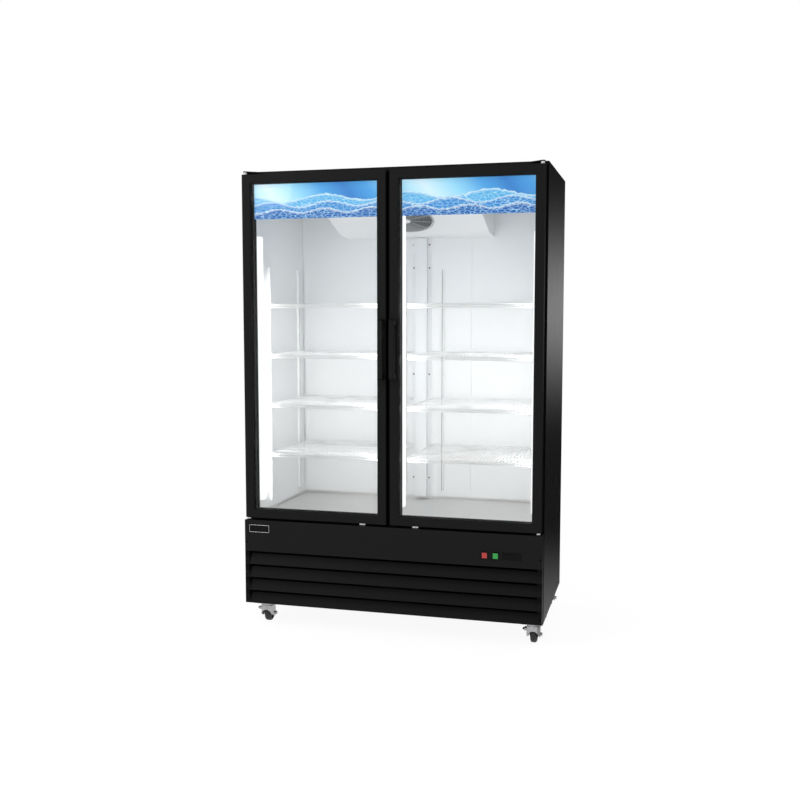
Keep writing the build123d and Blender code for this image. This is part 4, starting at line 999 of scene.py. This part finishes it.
def makeSeam():
    # the cover strip of the joint between two sheets of the rear wall
    back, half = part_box("rear_air_duct")[1].y, seam["width"] / 2
    fixedBlock("linerSeam", (seam["x"] - half, back - seam["rise"], seam["bottom"]),
               (seam["x"] + half, back, seam["top"]), seam["edge"], "whiteSteel")


badge = {"left": -0.6616, "right": -0.5643, "bottom": 0.4405, "top": 0.4745,
         "plate": 0.0012, "edge": 0.0004, "rim": 0.0009, "corner": 0.002}


def makeBadge():
    # a bare plate in a thin bright frame
    panelY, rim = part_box("grille_panel")[0].y, badge["rim"]
    front = panelY - badge["plate"]
    fixedBlock("badgePlate", (badge["left"], front, badge["bottom"]),
               (badge["right"], panelY, badge["top"]), badge["edge"], "glossBlack")
    left, right = badge["left"] + rim, badge["right"] - rim
    bottom, top = badge["bottom"] + rim, badge["top"] - rim
    corners = [(left, front, bottom), (right, front, bottom), (right, front, top),
               (left, front, top)]
    mesh = wires(corners, rim, badge["corner"], closed=True)
    linkPiece("badgeRim", mesh, "cabinet", "brightMetal")


controls = {
    "window": {"inset": 0.009, "width": 0.034, "height": 0.017, "rise": 0.0007, "edge": 0.0003},
    "key": {"inset": 0.008, "width": 0.0055, "height": 0.0035, "rise": 0.0009, "edge": 0.0003,
            "columns": 2, "rows": 2, "across": 0.01105, "up": 0.0085},
}


def makeController():
    # a dark window and four keys on the face of the temperature controller
    low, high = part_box("temperature_controller")
    window, key = controls["window"], controls["key"]
    middle = (low.z + high.z) / 2
    left, half = low.x + window["inset"], window["height"] / 2
    right = left + window["width"]
    fixedBlock("controllerWindow", (left, low.y - window["rise"], middle - half),
               (right, low.y, middle + half), window["edge"], "glossBlack")
    shape = bmesh.new()
    addBlock(shape, (-key["width"] / 2, -key["height"] / 2, 0),
             (key["width"] / 2, key["height"] / 2, key["rise"]))
    keyMesh = beveledMesh(meshOf("key", shape), "key", key["edge"])
    first = right + key["inset"]
    points = [(first + column * key["across"], low.y, middle + (row - 0.5) * key["up"])
              for row in range(key["rows"]) for column in range(key["columns"])]
    mesh = repeated(keyMesh, points, [facingFront] * len(points))
    linkPiece("controllerKeys", mesh, "cabinet", "blackPlastic")


makeScrews()
makeSeam()
makeBadge()
makeController()
print("small fittings made")


# Light inside the cabinet

strips = {
    "width": 0.02, "spread": 150, "ahead": 0.05,
    "leftPower": 1.4, "rightPower": 1.7,               # for each metre, by the side of the cabinet
    "side": {"inset": 0.02, "top": 1.6, "turn": 32},   # on the side walls
    "middle": {"x": 0.062, "top": 1.68, "turn": 50},   # behind the centre post
}


def makeStrips():
    low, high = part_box("interior_lamps")
    side, middle = strips["side"], strips["middle"]
    for x, way, kind in ((low.x + side["inset"], -1, side), (-middle["x"], 1, middle),
                         (middle["x"], -1, middle), (high.x - side["inset"], 1, side)):
        length = kind["top"] - low.z
        data = bpy.data.lights.new("strip", "AREA")
        data.shape, data.size, data.size_y = "RECTANGLE", strips["width"], length
        data.spread = radians(strips["spread"])
        data.energy = strips["leftPower" if x < 0 else "rightPower"] * length
        strip = bpy.data.objects.new("strip", data)
        strip.location = (x, low.y + strips["ahead"], low.z + length / 2)
        strip.rotation_euler = Euler((radians(90), 0, radians(way * kind["turn"])))
        bpy.context.scene.collection.objects.link(strip)
        strip.visible_camera = strip.visible_glossy = False


makeStrips()
print("cabinet lit")
